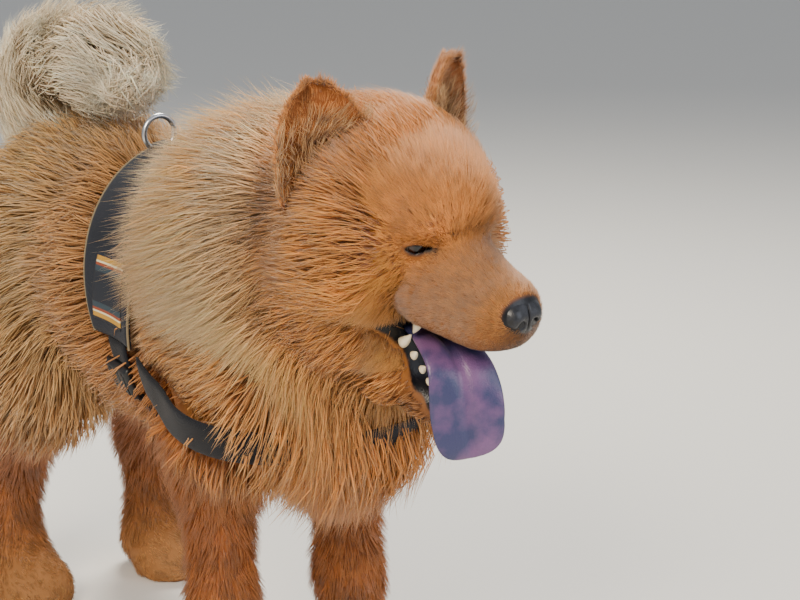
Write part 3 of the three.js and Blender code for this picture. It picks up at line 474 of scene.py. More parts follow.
def bump(tree, shader, height, strength, depth):
    inputs = {"Height": height, "Strength": strength, "Distance": depth}
    made = node_in(tree, "ShaderNodeBump", inputs=inputs)
    tree.links.new(made.outputs["Normal"], shader.inputs["Normal"])


def hair_material(name, gloss):
    """Guard hair: a soft satin strand that lets some light through and shines along its length."""
    made, tree, shader = material(name, {
        "Roughness": gloss, "IOR": 1.55, "Specular IOR Level": 0.35,
        "Sheen Weight": 0.25, "Sheen Roughness": 0.5,
    })
    colour = node_in(tree, "ShaderNodeAttribute", {"attribute_name": "hair"})
    tree.links.new(colour.outputs["Color"], shader.inputs["Base Color"])
    through = node_in(tree, "ShaderNodeBsdfTranslucent", inputs={"Color": colour.outputs["Color"]})
    mix = node_in(tree, "ShaderNodeMixShader", inputs={"Fac": 0.3})
    tree.links.new(shader.outputs["BSDF"], mix.inputs[1])
    tree.links.new(through.outputs["BSDF"], mix.inputs[2])
    tree.links.new(mix.outputs["Shader"], tree.nodes["Material Output"].inputs["Surface"])
    return made


def skin_material():
    """Skin under the hair, with bare dark skin at the lips and lids."""
    made, tree, shader = material("dog_skin", {"IOR": 1.4})
    colour = node_in(tree, "ShaderNodeAttribute", {"attribute_name": "hair"})
    bare = node_in(tree, "ShaderNodeAttribute", {"attribute_name": "bare"})
    grain = node_in(tree, "ShaderNodeTexVoronoi", inputs={"Vector": place_of(tree), "Scale": 700.0})
    tree.links.new(colour.outputs["Color"], shader.inputs["Base Color"])
    wet = node_in(
        tree, "ShaderNodeMapRange",
        inputs={"Value": bare.outputs["Fac"], "To Min": 0.75, "To Max": 0.32},
    )
    tree.links.new(wet.outputs["Result"], shader.inputs["Roughness"])
    bump(tree, shader, grain.outputs["Distance"], 0.25, 0.0006)
    return made


def wet_material(name, base, spots, scale, rough, relief):
    """Moist bare skin: mottled in two colours, pebbled, with a soft wet shine."""
    made, tree, shader = material(
        name, {"Roughness": rough, "IOR": 1.4, "Coat Weight": 0.3, "Coat Roughness": 0.25}
    )
    place = place_of(tree)
    mottle = node_in(tree, "ShaderNodeTexNoise", inputs={"Vector": place, "Scale": scale, "Detail": 4.0})
    ramp = colour_ramp(tree, mottle.outputs["Fac"], ((0.38, base), (0.62, spots)))
    tree.links.new(ramp.outputs["Color"], shader.inputs["Base Color"])
    grain = node_in(tree, "ShaderNodeTexVoronoi", inputs={"Vector": place, "Scale": 1000.0 / relief})
    bump(tree, shader, grain.outputs["Distance"], 0.5, 0.0005)
    return made


def eye_frame(s):
    """The frame of an eye: origin at its middle, +X the way that it looks."""
    gaze = Vector((0.87, s * 0.48, -0.06)).normalized()
    side = Vector((0, 0, 1)).cross(gaze).normalized()
    up = gaze.cross(side)
    basis = Matrix((gaze, side, up)).transposed().to_4x4()
    return HEAD @ Matrix.Translation((EYE[0], s * EYE[1], EYE[2])) @ basis


# The move that put the floor under the middle of the dog, as the right eye shows it
eye_low, eye_high = (np.array(corner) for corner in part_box("eye_right"))
SHIFT = 1000 * (eye_low + eye_high) / 2 - np.array(eye_frame(-1).translation)


# Fine form of the face: lids and mouth cut into the masses
def soft_max(a, b, k):
    return k * np.logaddexp(a / k, b / k)


def soft_min(a, b, k):
    return -k * np.logaddexp(-a / k, -b / k)


def mouth_gap(q):
    """Distance to the opening of the mouth, in the head's frame: below 0 inside it."""
    x = q[:, 0] - LIP_CORNER[0]
    z = q[:, 2] - LIP_CORNER[2]
    drop = math.radians(LOWER_LIP)
    top = z - 0.055 * x - 1.5 * np.sin(np.clip(x, 0, 100) / 16)
    low = -(x * math.sin(drop) + z * math.cos(drop))
    wedge = np.maximum(np.maximum(top, low), -x - 2)
    jaw = turned(JAW.inverted() @ HEAD, q)
    hollow = oval(q, (-30, 0, -82), (42, 25, 20))
    roof = oval(q, (24, 0, -74), (50, 21, 15))
    trough = oval(jaw, (30, 0, 0), (46, 19, 13))
    return np.minimum(np.minimum(wedge, hollow), np.minimum(roof, trough))


def lid_gap(q, s):
    """Distance to the almond opening between the lids, and to the eye's centre."""
    e = turned((TO_HEAD @ eye_frame(s)).inverted(), q)
    across = np.clip(e[:, 1] / 10.5, -1.2, 1.2)
    middle = 0.6 - 1.6 * across * s
    half = 3.6 * np.maximum(0, 1 - across * across) ** 0.7
    almond = np.maximum(np.abs(e[:, 2] - middle) - half, -e[:, 0])
    almond = np.maximum(almond, np.abs(e[:, 1]) - 10.5)
    return almond, np.sqrt((e * e).sum(1)), e


def face_form(q):
    """The face's field in the head's frame, with its lids and the opening of the mouth."""
    skin = form(turned(HEAD, q))
    for s in SIDES.values():
        almond, reach, e = lid_gap(q, s)
        skin = soft_min(skin, reach - (EYE_RADIUS + 2.6), 2.0)
        crease = np.abs(reach - (EYE_RADIUS + 5)) + 0.6 * np.abs(e[:, 2] - 9)
        skin = skin + 1.2 * np.exp(-(crease / 2.2) ** 2) * (e[:, 0] > 0)
        skin = soft_max(skin, -almond, 0.7)
        skin = np.maximum(skin, -(reach - EYE_RADIUS - 0.2))
    return soft_max(skin, -mouth_gap(q), 1.2)


# The skin is fine on the face and coarser behind FACE_BACK and on the tail
FACE_BACK = -48
FACE_CELL = 2.0
BODY_CELL = 7.5
face_low, face_high = (FACE_BACK - 6, -108, -176), (96, 108, 72)
face_vertices, face_triangles = surface(face_form, face_low, face_high, FACE_CELL)
face_at = turned(HEAD, face_vertices)
body_vertices, body_triangles = surface(form, (-535, -180, -8), (250, 180, 640), BODY_CELL)
behind = turned(TO_HEAD, body_vertices)
hidden = (behind[:, 0] > FACE_BACK + 4) & (behind[:, 2] > -160) & (np.abs(behind[:, 1]) < 100)
body_triangles = body_triangles[~hidden[body_triangles].all(1)]
tail_vertices, tail_triangles = surface(tail_form, (-510, -60, 420), (-260, 60, 650), BODY_CELL)
skin_vertices = np.concatenate([face_at, body_vertices, tail_vertices])
skin_triangles = np.concatenate([
    face_triangles,
    body_triangles + len(face_at),
    tail_triangles + len(face_at) + len(body_vertices),
])
skin_vertices[:, 2] = np.maximum(skin_vertices[:, 2], 0.6)  # the paws stand flat on the floor
used, skin_triangles = np.unique(skin_triangles, return_inverse=True)
skin_triangles = skin_triangles.reshape(-1, 3)
skin_vertices = skin_vertices[used]
is_tail = used >= len(face_at) + len(body_vertices)


def tones(p):
    """Hair colours at root and tip, coat depth and lie at p, with the markings of the head."""
    skin, coat, lie, hair = form(p, True)
    q = turned(TO_HEAD, p)
    hair = hair.copy()
    # Grey speckle round the nose and lips
    nose = np.exp(-(((q - (88, 0, -50)) / (22, 30, 22)) ** 2).sum(1))
    lips = np.exp(-np.maximum(mouth_gap(q) - 2, 0) / 6.0) * (q[:, 0] > -34) * (q[:, 0] < 110)
    for s in SIDES.values():
        _, _, e = lid_gap(q, s)
        line = np.exp(-(((e - (10, -s * 6, -0.5)) / (14, 15, 3.6)) ** 2).sum(1))
        tear = np.exp(-(((e - (6, -s * 14, -8)) / (8, 4, 9)) ** 2).sum(1))
        w = np.clip(1.2 * line + 0.5 * tear, 0, 1)[:, None]
        hair = hair * (1 - w) + DARK_MARK * w
        w = np.exp(-(((q - (-104, s * 74, 8)) / (26, 22, 26)) ** 2).sum(1))[:, None] * 0.8
        hair = hair * (1 - w) + BEHIND_EAR * w
    speckle = 0.75 + 0.5 * np.sin(q[:, 0] * 1.9 + 5 * np.sin(q[:, 1] * 0.7)) * np.sin(q[:, 2] * 2.3)
    w = np.clip((0.8 * nose + 0.75 * lips) * speckle, 0, 1)[:, None]
    hair = hair * (1 - w) + DARK_MARK * w
    # Painted highlight: a pale rim of the ruff behind the cheeks, where the light from behind catches it
    ring = np.exp(-(((q[:, 0] + 150) / 34) ** 2)) * (q[:, 0] < -100) * (coat > 50)
    w = 0.75 * ring[:, None]
    return skin, coat, lie, hair * (1 - w) + RUFF_RIM_HIGHLIGHT * w


def round_trunk(p):
    """Degrees from the top of the back, round the axis of the trunk."""
    return np.degrees(np.abs(np.arctan2(p[:, 1], p[:, 2] - TRUNK_AXIS)))


def saddle_edges(share):
    """The saddle's front and rear edge along the body, at a share of the way down its side."""
    narrow = share**1.6
    return SADDLE_FRONT - 22 * narrow, SADDLE_REAR + 44 * narrow


def round_strap(p):
    """Share of the way from the middle of the chest strap to its end, and its top edge there."""
    share = np.abs(np.arctan2(p[:, 1], p[:, 0] - STRAP_START)) / math.radians(WRAP)
    return share, STRAP_TOP + STRAP_LIFT * share**2


def trimmed(p):
    """Share of its length that the hair has near the eyes, the lips and the harness."""
    q = turned(TO_HEAD, p)
    keep = np.ones(len(p))
    for s in SIDES.values():
        reach = lid_gap(q, s)[1] - EYE_RADIUS
        keep = np.minimum(keep, 0.16 + np.clip((reach - 3) / 34, 0, 1))
    lips = np.clip((mouth_gap(q) - 6) / 34, 0, 1)
    keep = np.where((q[:, 0] > -84) & (q[:, 2] > -165), np.minimum(keep, 0.2 + lips), keep)
    # Shorter where the hair would hide the saddle and the side of the chest strap
    angle = round_trunk(p)
    ahead = p[:, 0] - saddle_edges(np.minimum(angle / WRAP, 1))[0]
    short = 0.22 + np.clip(ahead / 120, 0, 1)
    keep = np.where((ahead > 0) & (angle < WRAP + 4), np.minimum(keep, short), keep)
    turn, top = round_strap(p)
    over = p[:, 2] - top
    keep = np.where((turn > 0.4) & (turn < 1) & (over > 0), np.minimum(keep, 0.2 + over / 115), keep)
    # Longer in front, where the ruff falls over the chest strap
    falls = np.exp(-(((over - 30) / 34) ** 2)) * (turn < 0.26) * (p[:, 0] > 0)
    return np.minimum(keep, 1) * (1 + 0.4 * falls)


def lip_width(q):
    """Width of the bare black skin along the upper and the lower lip."""
    x, z = q[:, 0] - LIP_CORNER[0], q[:, 2] - LIP_CORNER[2]
    lower = z < -0.25 * x
    return np.where(lower, 8.5 + 8 * np.clip(x / 26, 0, 1) + 1.5 * np.sin(x / 3.0), 3.4)


def eye_line(q, s):
    """Share of the dark skin drawn out from the corners of the lids."""
    _, reach, e = lid_gap(q, s)
    rim = np.clip((EYE_RADIUS + 4.0 - reach) / 1.6, 0, 1) * (np.abs(e[:, 2]) < 7)
    drawn = ((e[:, 1] + s * 3) / 17) ** 2 + ((e[:, 2] - 0.4 + 0.1 * s * e[:, 1]) / 2.6) ** 2
    return np.maximum(rim, np.clip(1.5 * (1.15 - drawn), 0, 1) * (e[:, 0] > 0) * (reach < 30))


def round_nose(q):
    """Distance to the bare skin that the nose leather is set in."""
    return oval(q, (82, 0, -39), (14, 24, 17))


# The skin is painted darker than the hair's roots, as painted shade deep in the coat, and black where it
# is bare
_, _, _, skin_hair = tones(skin_vertices)
# Painted shade: the skin is a darkened mix of the root and tip colours, so the gaps between hairs look
# deep
skin_tone_and_shade = skin_hair[:, :3] * 0.55 + skin_hair[:, 3:] * 0.12
skin_q = turned(TO_HEAD, skin_vertices)
in_face = (skin_q[:, 0] > -70) & (np.abs(skin_q[:, 1]) < 90) & (skin_q[:, 2] < -20)
bare = np.clip((lip_width(skin_q) - mouth_gap(skin_q)) / 1.8, 0, 1) * in_face
bare = np.maximum(bare, np.clip((3.5 - round_nose(skin_q)) / 2, 0, 1))
for s in SIDES.values():
    bare = np.maximum(bare, eye_line(skin_q, s))
skin_tone_and_shade = skin_tone_and_shade * (1 - bare[:, None]) + np.array(BARE_SKIN) * bare[:, None]
skin_tone_and_shade[is_tail] = PLUME_SKIN
skin = mesh_object("dog_skin", skin_vertices, skin_triangles, skin_material())
paint(skin, "hair", skin_tone_and_shade)
paint(skin, "bare", bare)
skin_uv = unwrap(skin)
flesh = ["head", "muzzle", "lower_jaw", "neck", "torso", "tail"]
for part in ("foreleg", "forepaw", "hindleg", "hindpaw"):
    flesh += [f"{part}_{side}" for side in SIDES]
placed(skin, "coat", *flesh)


# Coat
class Roots:
    """Points on triangles, with the unwrap's coordinates there."""

    def __init__(self, vertices, triangles, uv, weight, count):
        count = int(count * SHARE)
        a, b, c = (vertices[triangles[:, i]] for i in range(3))
        area = np.linalg.norm(across_faces(vertices, triangles), axis=1) * weight
        pick = np.searchsorted(np.cumsum(area) / area.sum(), RNG.random(count))
        pick = np.minimum(pick, len(triangles) - 1)
        u, v = RNG.random((2, count))
        fold = u + v > 1
        u[fold], v[fold] = 1 - u[fold], 1 - v[fold]
        w = 1 - u - v
        self.at = a[pick] * w[:, None] + b[pick] * u[:, None] + c[pick] * v[:, None]
        self.uv = uv[pick, 0] * w[:, None] + uv[pick, 1] * u[:, None] + uv[pick, 2] * v[:, None]


def tufts(name, roots, field, tone, length, rise, width, rings, pull=0.5, spread=0.12, clump=40):
    """Tapered strands of three sides that lie along the body and gather in clumps.

    Length, and rise over the skin, are pairs: millimetres, and a share of the coat's depth.
    """
    at = roots.at
    count = len(at)
    _, coat, lie, hair = tone(at)
    out = slope(field, at)
    keep = trimmed(at)
    reach = (length[0] + length[1] * coat) * RNG.uniform(0.72, 1.12, count) * keep
    top = (rise[0] + rise[1] * coat) * RNG.uniform(0.35, 1.08, count) * keep
    jitter = RNG.normal(0, spread, (count, 3))
    path = [at - out * 1.5]
    here = at
    for ring in range(1, rings + 1):
        share = ring / rings
        flat = lie - (lie * out).sum(1)[:, None] * out
        way = unit(unit(flat) + jitter * (0.6 + 0.8 * share))
        here = here + way * (reach / rings)[:, None]
        lift = top * math.sin(share * math.pi / 2) ** 0.8
        out = slope(field, here, 3.0)
        here = here + out * np.clip(lift - field(here), -40, 40)[:, None]
        path.append(here)
    path = np.stack(path, 1)
    # Strands are drawn towards the tips of leaders near them, in small clumps within large ones
    clump_tone = np.ones(count)
    for strands, strength in ((clump, pull * 0.8), (max(4, clump // 6), pull)):
        leaders = RNG.choice(count, max(1, count // strands), replace=False)
        found = nearest(at[leaders], at)
        near = leaders[found]
        for ring in range(1, rings + 1):
            share = (ring / rings) ** 1.3 * strength * RNG.uniform(0.6, 1, (count, 1))
            path[:, ring] += (path[near, ring] - path[:, ring]) * share
        clump_tone *= RNG.normal(1.0, 0.09, len(leaders))[found]
    path[:, :, 2] = np.maximum(path[:, :, 2], 1.0)
    thick = width * RNG.uniform(0.7, 1.3, count) * (0.5 + 0.5 * keep)
    sides = np.array([(1.0, -0.2), (-1.0, -0.2), (0.0, 0.45)])
    vertices = np.empty((count, rings * 3 + 1, 3))
    tones_here = np.empty((count, rings * 3 + 1, 3))
    own = (clump_tone * RNG.normal(1.0, 0.08, count)).clip(0.55, 1.5)[:, None]
    for ring in range(rings):
        along = path[:, ring + 1] - path[:, ring]
        if ring:
            along = along + path[:, ring] - path[:, ring - 1]
        along = unit(along)
        across = unit(np.cross(along, out))
        over = np.cross(across, along)
        taper = 1.0 if ring == 0 else (1 - (ring / rings) ** 1.6)
        w = (thick * taper * (0.7 if ring == 0 and rings > 1 else 1.0))[:, None]
        for i, (u, v) in enumerate(sides):
            vertices[:, ring * 3 + i] = path[:, ring] + across * w * u + over * w * v
        # Colour runs from the dark root to the pale tip: the hair's own colour with painted shade
        # towards the skin
        share = (ring / rings) ** 0.9
        colour = hair[:, :3] * (1 - share) + hair[:, 3:] * share
        tones_here[:, ring * 3 : ring * 3 + 3] = (colour * own)[:, None]
    vertices[:, -1] = path[:, -1]
    # The point of each strand is painted a little lighter than the tip colour, as part of the same
    # painted shading
    tones_here[:, -1] = hair[:, 3:] * own * 1.08
    base = [(0, 2, 1)]
    for ring in range(rings - 1):
        for i in range(3):
            a, b = ring * 3 + i, ring * 3 + (i + 1) % 3
            base += [(a, b, b + 3), (a, b + 3, a + 3)]
    last = (rings - 1) * 3
    base += [(last + i, last + (i + 1) % 3, rings * 3) for i in range(3)]
    base = np.array(base)
    faces = (base[None] + (np.arange(count) * (rings * 3 + 1))[:, None, None]).reshape(-1, 3)
    made = mesh_object(name, vertices.reshape(-1, 3), faces, guard_hair)
    paint(made, "hair", tones_here.reshape(-1, 3).clip(0, 1))
    spot = np.zeros((rings * 3 + 1, 2))
    for ring in range(rings):
        for i in range(3):
            spot[ring * 3 + i] = ((i - 1) * 0.0012, ring * 0.003 / rings)
    spot[-1] = (0, 0.003)
    uv = (roots.uv[:, None] + spot[None]).reshape(-1, 2)[faces.ravel()]
    made.data.uv_layers.new(name="OFBake").data.foreach_set("uv", uv.astype(np.float32).ravel())
    placed(made, "coat")


guard_hair = hair_material("chow_guard_hair", 0.55)
centres = skin_vertices[skin_triangles].mean(1)
centre_q = turned(TO_HEAD, centres)
_, centre_coat, _, _ = form(centres, True)
on_tail = is_tail[skin_triangles[:, 0]]
in_mouth = mouth_gap(centre_q) < lip_width(centre_q) - 0.8
in_mouth &= (centre_q[:, 0] > -60) & (np.abs(centre_q[:, 1]) < 85)
near_eye = np.zeros(len(centres), bool)
for s in SIDES.values():
    near_eye |= eye_line(centre_q, s) > 0.5
near_nose = round_nose(centre_q) < 0.5
furred = ~(in_mouth | near_eye | near_nose)
in_head = (centre_q[:, 0] > -120) & (centre_q[:, 2] > -120) & ~on_tail & (centres[:, 0] > 60)
face = in_head & (centre_q[:, 0] > -30) & (np.abs(centre_q[:, 1]) < 62)
snout = in_head & (centre_q[:, 0] > 14) & (centre_coat < 12)
leg = ~in_head & (centre_coat < 27) & (centres[:, 2] < 300) & ~on_tail
trunk_fur = ~in_head & ~leg & ~on_tail
ruff = trunk_fur & (centre_coat > 56) & (centres[:, 0] > -90)
body_fur = trunk_fur & ~ruff


def under_harness(p):
    """Where the saddle and the straps press on the coat."""
    angle = round_trunk(p)
    front, rear = saddle_edges(np.minimum(angle / WRAP, 1))
    saddle_there = (angle < WRAP + 2) & (p[:, 0] < front) & (p[:, 0] > rear)
    girth_there = (angle >= WRAP) & (p[:, 0] < -90) & (p[:, 0] > -130)
    turn, top = round_strap(p)
    strap_there = (turn < 1) & (turn > 0.34) & (p[:, 2] < top) & (p[:, 2] > top - 40)
    return saddle_there | girth_there | strap_there


furred &= ~under_harness(centres)


def tail_tones(p):
    skin, coat, lie, hair = tail_form(p, True)
    # The plume follows the curl of the tail and falls to both sides of it
    out = slope(tail_form, p)
    side = np.column_stack([np.zeros(len(p)), np.tanh((p[:, 1] + 6) / 12) * 0.45, np.full(len(p), -0.1)])
    return skin, coat, unit(unit(lie) + side + 0.35 * out), hair


# Each part of the coat: where it grows, strands, length, rise, width, rings, pull and spread
LONG, HIGH = (6, 1.35), (0, 0.98)
LEG_HAIR = (9, 0.9), (0, 0.8), 0.6, 1
for name, where, count, *look in (
    ("snout", snout, 32000, (9, 0.6), (2.2, 0.32), 0.4, 1, 0.3, 0.2),
    ("face", face & ~snout, 40000, (9, 1.0), (2.5, 0.9), 0.46, 1, 0.4, 0.2),
    ("head", in_head & ~face, 19500, LONG, HIGH, 0.7, 2, 0.35, 0.2),
    ("ruff_right", ruff & (centres[:, 1] < 0), 19800, LONG, HIGH, 0.8, 2, 0.34, 0.2),
    ("ruff_left", ruff & (centres[:, 1] >= 0), 16500, LONG, HIGH, 0.85, 2, 0.34, 0.2),
    ("body_front", body_fur & (centres[:, 0] > -215), 12000, LONG, HIGH, 0.95, 2, 0.34, 0.17),
    ("body_rear", body_fur & (centres[:, 0] <= -215), 13500, LONG, HIGH, 1.0, 2, 0.34, 0.17),
    ("forelegs", leg & (centres[:, 0] > -150), 23000, *LEG_HAIR),
    ("hindlegs", leg & (centres[:, 0] <= -150), 21000, *LEG_HAIR),
    ("tail", on_tail, 12000, (10, 1.5), (0, 0.95), 1.0, 2, 0.5, 0.12, 60),
):
    field, tone = (tail_form, tail_tones) if name == "tail" else (form, tones)
    weight = (where & furred).astype(float)
    roots = Roots(skin_vertices, skin_triangles, skin_uv, weight, count)
    tufts(f"coat_{name}", roots, field, tone, *look)


# Ears: thick rounded triangles, cupped to the front
EAR_BASE = (-101, 62, 24)
EAR_TIP = (-107, 88, 120)
EAR_FACING = (0.93, 0.3, -0.1)
EAR_LONG = 104
EAR_HALF = 45
EAR_CUP = 20


def mirrored(v, s):
    """A place or a way of the left ear, and of the right one where s is below 0."""
    return np.array((v[0], s * v[1], v[2]), float)


def ear_grid(s, rows=25, columns=25):
    """Inner and outer faces of an ear, and its directions, in the head's frame."""
    base, tip, facing = (mirrored(v, s) for v in (EAR_BASE, EAR_TIP, EAR_FACING))
    axis = tip - base
    facing = unit(facing - axis * (facing @ axis) / (axis @ axis))
    across = unit(np.cross(axis, facing))
    v, u = np.meshgrid(np.linspace(0, 1, rows), np.linspace(-1, 1, columns), indexing="ij")
    half = EAR_HALF * np.maximum(0.02, 1 - v**2.8) ** 0.6
    thick = 2.2 + 4.5 * (1 - u * u) * (1 - 0.6 * v)
    middle = (
        base + axis * v[..., None] + across * (u * half)[..., None]
        + facing * (EAR_CUP * u * u * (1 - 0.55 * v) - 4 * v)[..., None]
    )
    inner = middle + facing * (thick * 0.5)[..., None]
    return inner, middle - facing * thick[..., None], axis, facing


def closed_sheet(inner, outer):
    """Vertices and triangles of a sheet between two grids of points."""
    rows, columns = inner.shape[:2]
    n = rows * columns
    vertices = np.concatenate([inner.reshape(-1, 3), outer.reshape(-1, 3)])
    index = np.arange(n).reshape(rows, columns)
    a, b, c, d = index[:-1, :-1], index[:-1, 1:], index[1:, 1:], index[1:, :-1]
    quads = [np.stack([a, d, c, b], -1).reshape(-1, 4), np.stack([a, b, c, d], -1).reshape(-1, 4) + n]
    rim = np.concatenate([index[0, :], index[1:, -1], index[-1, -2::-1], index[-2:0:-1, 0]])
    after = np.roll(rim, -1)
    quads.append(np.stack([rim, after, after + n, rim + n], -1))
    triangles = halved(np.concatenate(quads))
    off = vertices[triangles].mean(1) - vertices.mean(0)
    outward = (across_faces(vertices, triangles) * off).sum() > 0
    return vertices, triangles if outward else triangles[:, ::-1]


def ear_tones(s):
    """The tone function of an ear: plush, with painted shade deep in the cup."""
    base, tip, facing = (mirrored(v, s) for v in (EAR_BASE, EAR_TIP, EAR_FACING))
    axis = unit(tip - base)
    across = unit(np.cross(axis, facing))

    def tone(p):
        q = turned(TO_HEAD, p) - base
        rise = (q @ axis) / EAR_LONG
        aside = (q @ across) / EAR_HALF
        front = (q @ unit(facing)) > EAR_CUP * aside**2 * (1 - 0.55 * rise) - 4 * rise - 1
        # Painted shade: the hair darkens towards the deep middle and bottom of the cup
        edge = np.clip(np.abs(aside) * 1.2 + rise * 0.5, 0, 1)[:, None]
        inner = EAR_CUP_SHADE * (1 - edge) + EAR_PLUSH * edge
        hair = np.where(front[:, None], inner, EAR_PLUSH)
        lie = axis + across * (aside * 0.7)[:, None] + unit(facing) * 0.15
        coat = np.where(front, 9.0, 8.0)
        return np.zeros(len(p)), coat, rotated(HEAD, unit(lie)), hair

    return tone


ear_skin = skin_material()
for side, s in SIDES.items():
    inner, outer, axis, facing = ear_grid(s)
    vertices, triangles = closed_sheet(inner, outer)
    at = turned(HEAD, vertices)
    ear = mesh_object(f"ear_{side}_skin", at, triangles, ear_skin)
    tone = ear_tones(s)
    paint(ear, "hair", tone(at)[3][:, :3])
    paint(ear, "bare", np.zeros(len(at)))
    ear_uv = unwrap(ear)
    placed(ear, "coat", f"ear_{side}")
    normals = np.empty(len(at) * 3, np.float32)
    ear.data.vertices.foreach_get("normal", normals)
    normals = normals.reshape(-1, 3)

    def near_ear(p, at=at, normals=normals):
        """Distance to the ear's nearest corner, along its normal there."""
        found = nearest(at, p)
        return ((p - at[found]) * normals[found]).sum(1)

    roots = Roots(at, triangles, ear_uv, np.ones(len(triangles)), 10500)
    tufts(f"coat_ear_{side}", roots, near_ear, tone, (3, 1.4), (0, 0.55), 0.42, 1, 0.3, 0.16)
    # Long pale hairs stand in the cup
    centre = turned(TO_HEAD, at[triangles].mean(1)) - mirrored(EAR_BASE, s)
    facing_front = across_faces(at, triangles) @ rotated(HEAD, facing) > 0
    low_cup = facing_front & (centre @ unit(axis) < 62)

    def cup_tone(p, tone=tone, s=s):
        skin, _, lie, _ = tone(p)
        lie = unit(lie + rotated(HEAD, np.array((0.5, s * -0.2, 0.1))))
        return skin, np.full(len(p), 22.0), lie, np.tile(EAR_CUP_HAIR, (len(p), 1))

    roots = Roots(at, triangles, ear_uv, low_cup.astype(float), 900)
    tufts(f"coat_ear_cup_{side}", roots, near_ear, cup_tone, (0, 1.3), (0, 0.7), 0.4, 2, 0.5, 0.2, 20)


# Eyes: dark brown, glossy, with a black pupil and a clear bulge over it
def eye_material():
    """A living eye: dark brown iris, black pupil, a pale rim at the white, wet clear surface."""
    made, tree, shader = material(
        "dark_brown_eye", {"Roughness": 0.08, "IOR": 1.38, "Coat Weight": 0.5, "Coat Roughness": 0.03}
    )
    gaze = node_in(tree, "ShaderNodeAttribute", {"attribute_name": "gaze"})
    ramp = colour_ramp(tree, gaze.outputs["Fac"], (
        (0.0, "#030303"), (0.30, "#050403"), (0.36, "#2b1408"), (0.62, "#3a1d0d"),
        (0.70, "#120a06"), (0.76, "#7a6a5c"), (1.0, "#5a4a40"),
    ))
    tree.links.new(ramp.outputs["Color"], shader.inputs["Base Color"])
    return made


eye_gloss = eye_material()
for side, s in SIDES.items():
    rings, around = 40, 48
    theta = np.linspace(0, math.pi, rings)
    phi = np.linspace(0, 2 * math.pi, around, endpoint=False)
    t, f = np.meshgrid(theta, phi, indexing="ij")
    bulge = EYE_RADIUS - 0.35 + 0.5 * np.exp(-((t / 0.55) ** 2))
    aside = bulge * np.sin(t)
    local = np.stack([bulge * np.cos(t), aside * np.cos(f), aside * np.sin(f)], -1)
    index = np.arange(rings * around).reshape(rings, around)
    ahead = np.roll(index, -1, 1)
    quads = np.stack([index[:-1], index[1:], ahead[1:], ahead[:-1]], -1).reshape(-1, 4)
    at = turned(eye_frame(s), local.reshape(-1, 3))
    eye = mesh_object(f"eye_{side}_ball", at, quads, eye_gloss)
    paint(eye, "gaze", (t / 1.1).clip(0, 1).reshape(-1))
    placed(eye, "eyes", f"eye_{side}")


# Nose leather with nostrils
def nose_form(q):
    leather = soft_min(oval(q, (80, 0, -37), (13, 23, 16)), oval(q, (86, 0, -42), (10, 16, 15)), 2.0)
    for s in SIDES.values():
        leather = soft_min(leather, oval(q, (88, s * 12, -38), (8, 8, 9)), 2.5)
        leather = soft_max(leather, -oval(q, (95, s * 8.5, -42), (7, 4.2, 3.6)), 1.0)
        leather = soft_max(leather, -oval(q, (89, s * 16, -46), (9, 7, 1.6)), 0.8)
    leather = soft_max(leather, -(np.abs(q[:, 1]) - 0.5 + np.maximum(0, 88 - q[:, 0])), 0.8)
    return np.maximum(leather, 70 - q[:, 0])


nose_vertices, nose_triangles = surface(nose_form, (66, -28, -62), (102, 28, -16), 0.9)
nose_leather = wet_material("nose_leather", "#0a0b0f", "#1a1c24", 220.0, 0.42, 1.1)
nose = mesh_object("nose_leather", turned(HEAD, nose_vertices), nose_triangles, nose_leather)
placed(nose, "nose_leather", "nose")


# Tongue, hanging to the dog's right, with a groove and mottled colours.
# Each row is a place in the head's frame, half the width and half the thickness there.
TONGUE = np.array([
    (-36, 0, -91, 16, 5), (-4, -4, -92, 22, 6.5), (24, -14, -92, 28, 6.5), (44, -19, -101, 31, 6),
    (57, -21, -121, 33, 5.5), (65, -21, -145, 32, 5), (71, -20, -164, 24, 4.2), (74, -19, -174, 12, 3),
])
TONGUE_TURN = 34


def tongue_mesh(steps=64, around=40):
    control = np.concatenate([TONGUE[:1], TONGUE, TONGUE[-1:]])
    rows = []
    for i in range(steps + 1):
        t = i / steps * (len(TONGUE) - 1)
        k = min(len(TONGUE) - 2, int(t))
        f = t - k
        a, b, c, d = control[k : k + 4]
        square, cube = 2 * a - 5 * b + 4 * c - d, 3 * b - a - 3 * c + d
        point = 0.5 * (2 * b + (c - a) * f + square * f * f + cube * f**3)
        speed = 0.5 * ((c - a) + 2 * square * f + 3 * cube * f * f)
        tangent = unit(speed[:3])
        turn = math.radians(-TONGUE_TURN) * min(1, t / 4)
        across = np.array((-math.sin(turn), math.cos(turn), 0.0))
        across = unit(across - tangent * (across @ tangent))
        up = np.cross(tangent, across)
        wide, thick = point[3], point[4]
        wide = wide if t < 5 else 32 * math.sqrt(max(0.006, 1 - ((t - 5) / 2) ** 2))
        thick = thick if t < 6 else thick * math.sqrt(max(0.02, 1 - (t - 6) ** 2))
        for j in range(around):
            a0 = 2 * math.pi * j / around
            x, y = math.cos(a0), math.sin(a0)
            groove = 1 - 0.75 * math.exp(-((x / 0.13) ** 2)) if y > 0 else 1
            curl = 0.16 * x * x * wide
            wave = 0.6 * math.sin(t * 2.6 + 1.5 * x)
            rise = thick * y * groove + curl * 0.5 + wave * abs(x)
            rows.append(point[:3] + across * wide * x + up * rise)
    vertices = turned(HEAD, np.array(rows))
    index = np.arange((steps + 1) * around).reshape(steps + 1, around)
    ahead = np.roll(index, -1, 1)
    quads = np.stack([index[:-1], ahead[:-1], ahead[1:], index[1:]], -1).reshape(-1, 4)
    triangles = halved(quads)
    caps = []
    for ring, flip in ((index[0], False), (index[-1], True)):
        fan = np.stack([np.full(around - 2, ring[0]), ring[1:-1], ring[2:]], -1)
        caps.append(fan if flip else fan[:, ::-1])
    return vertices, np.concatenate([triangles] + caps)


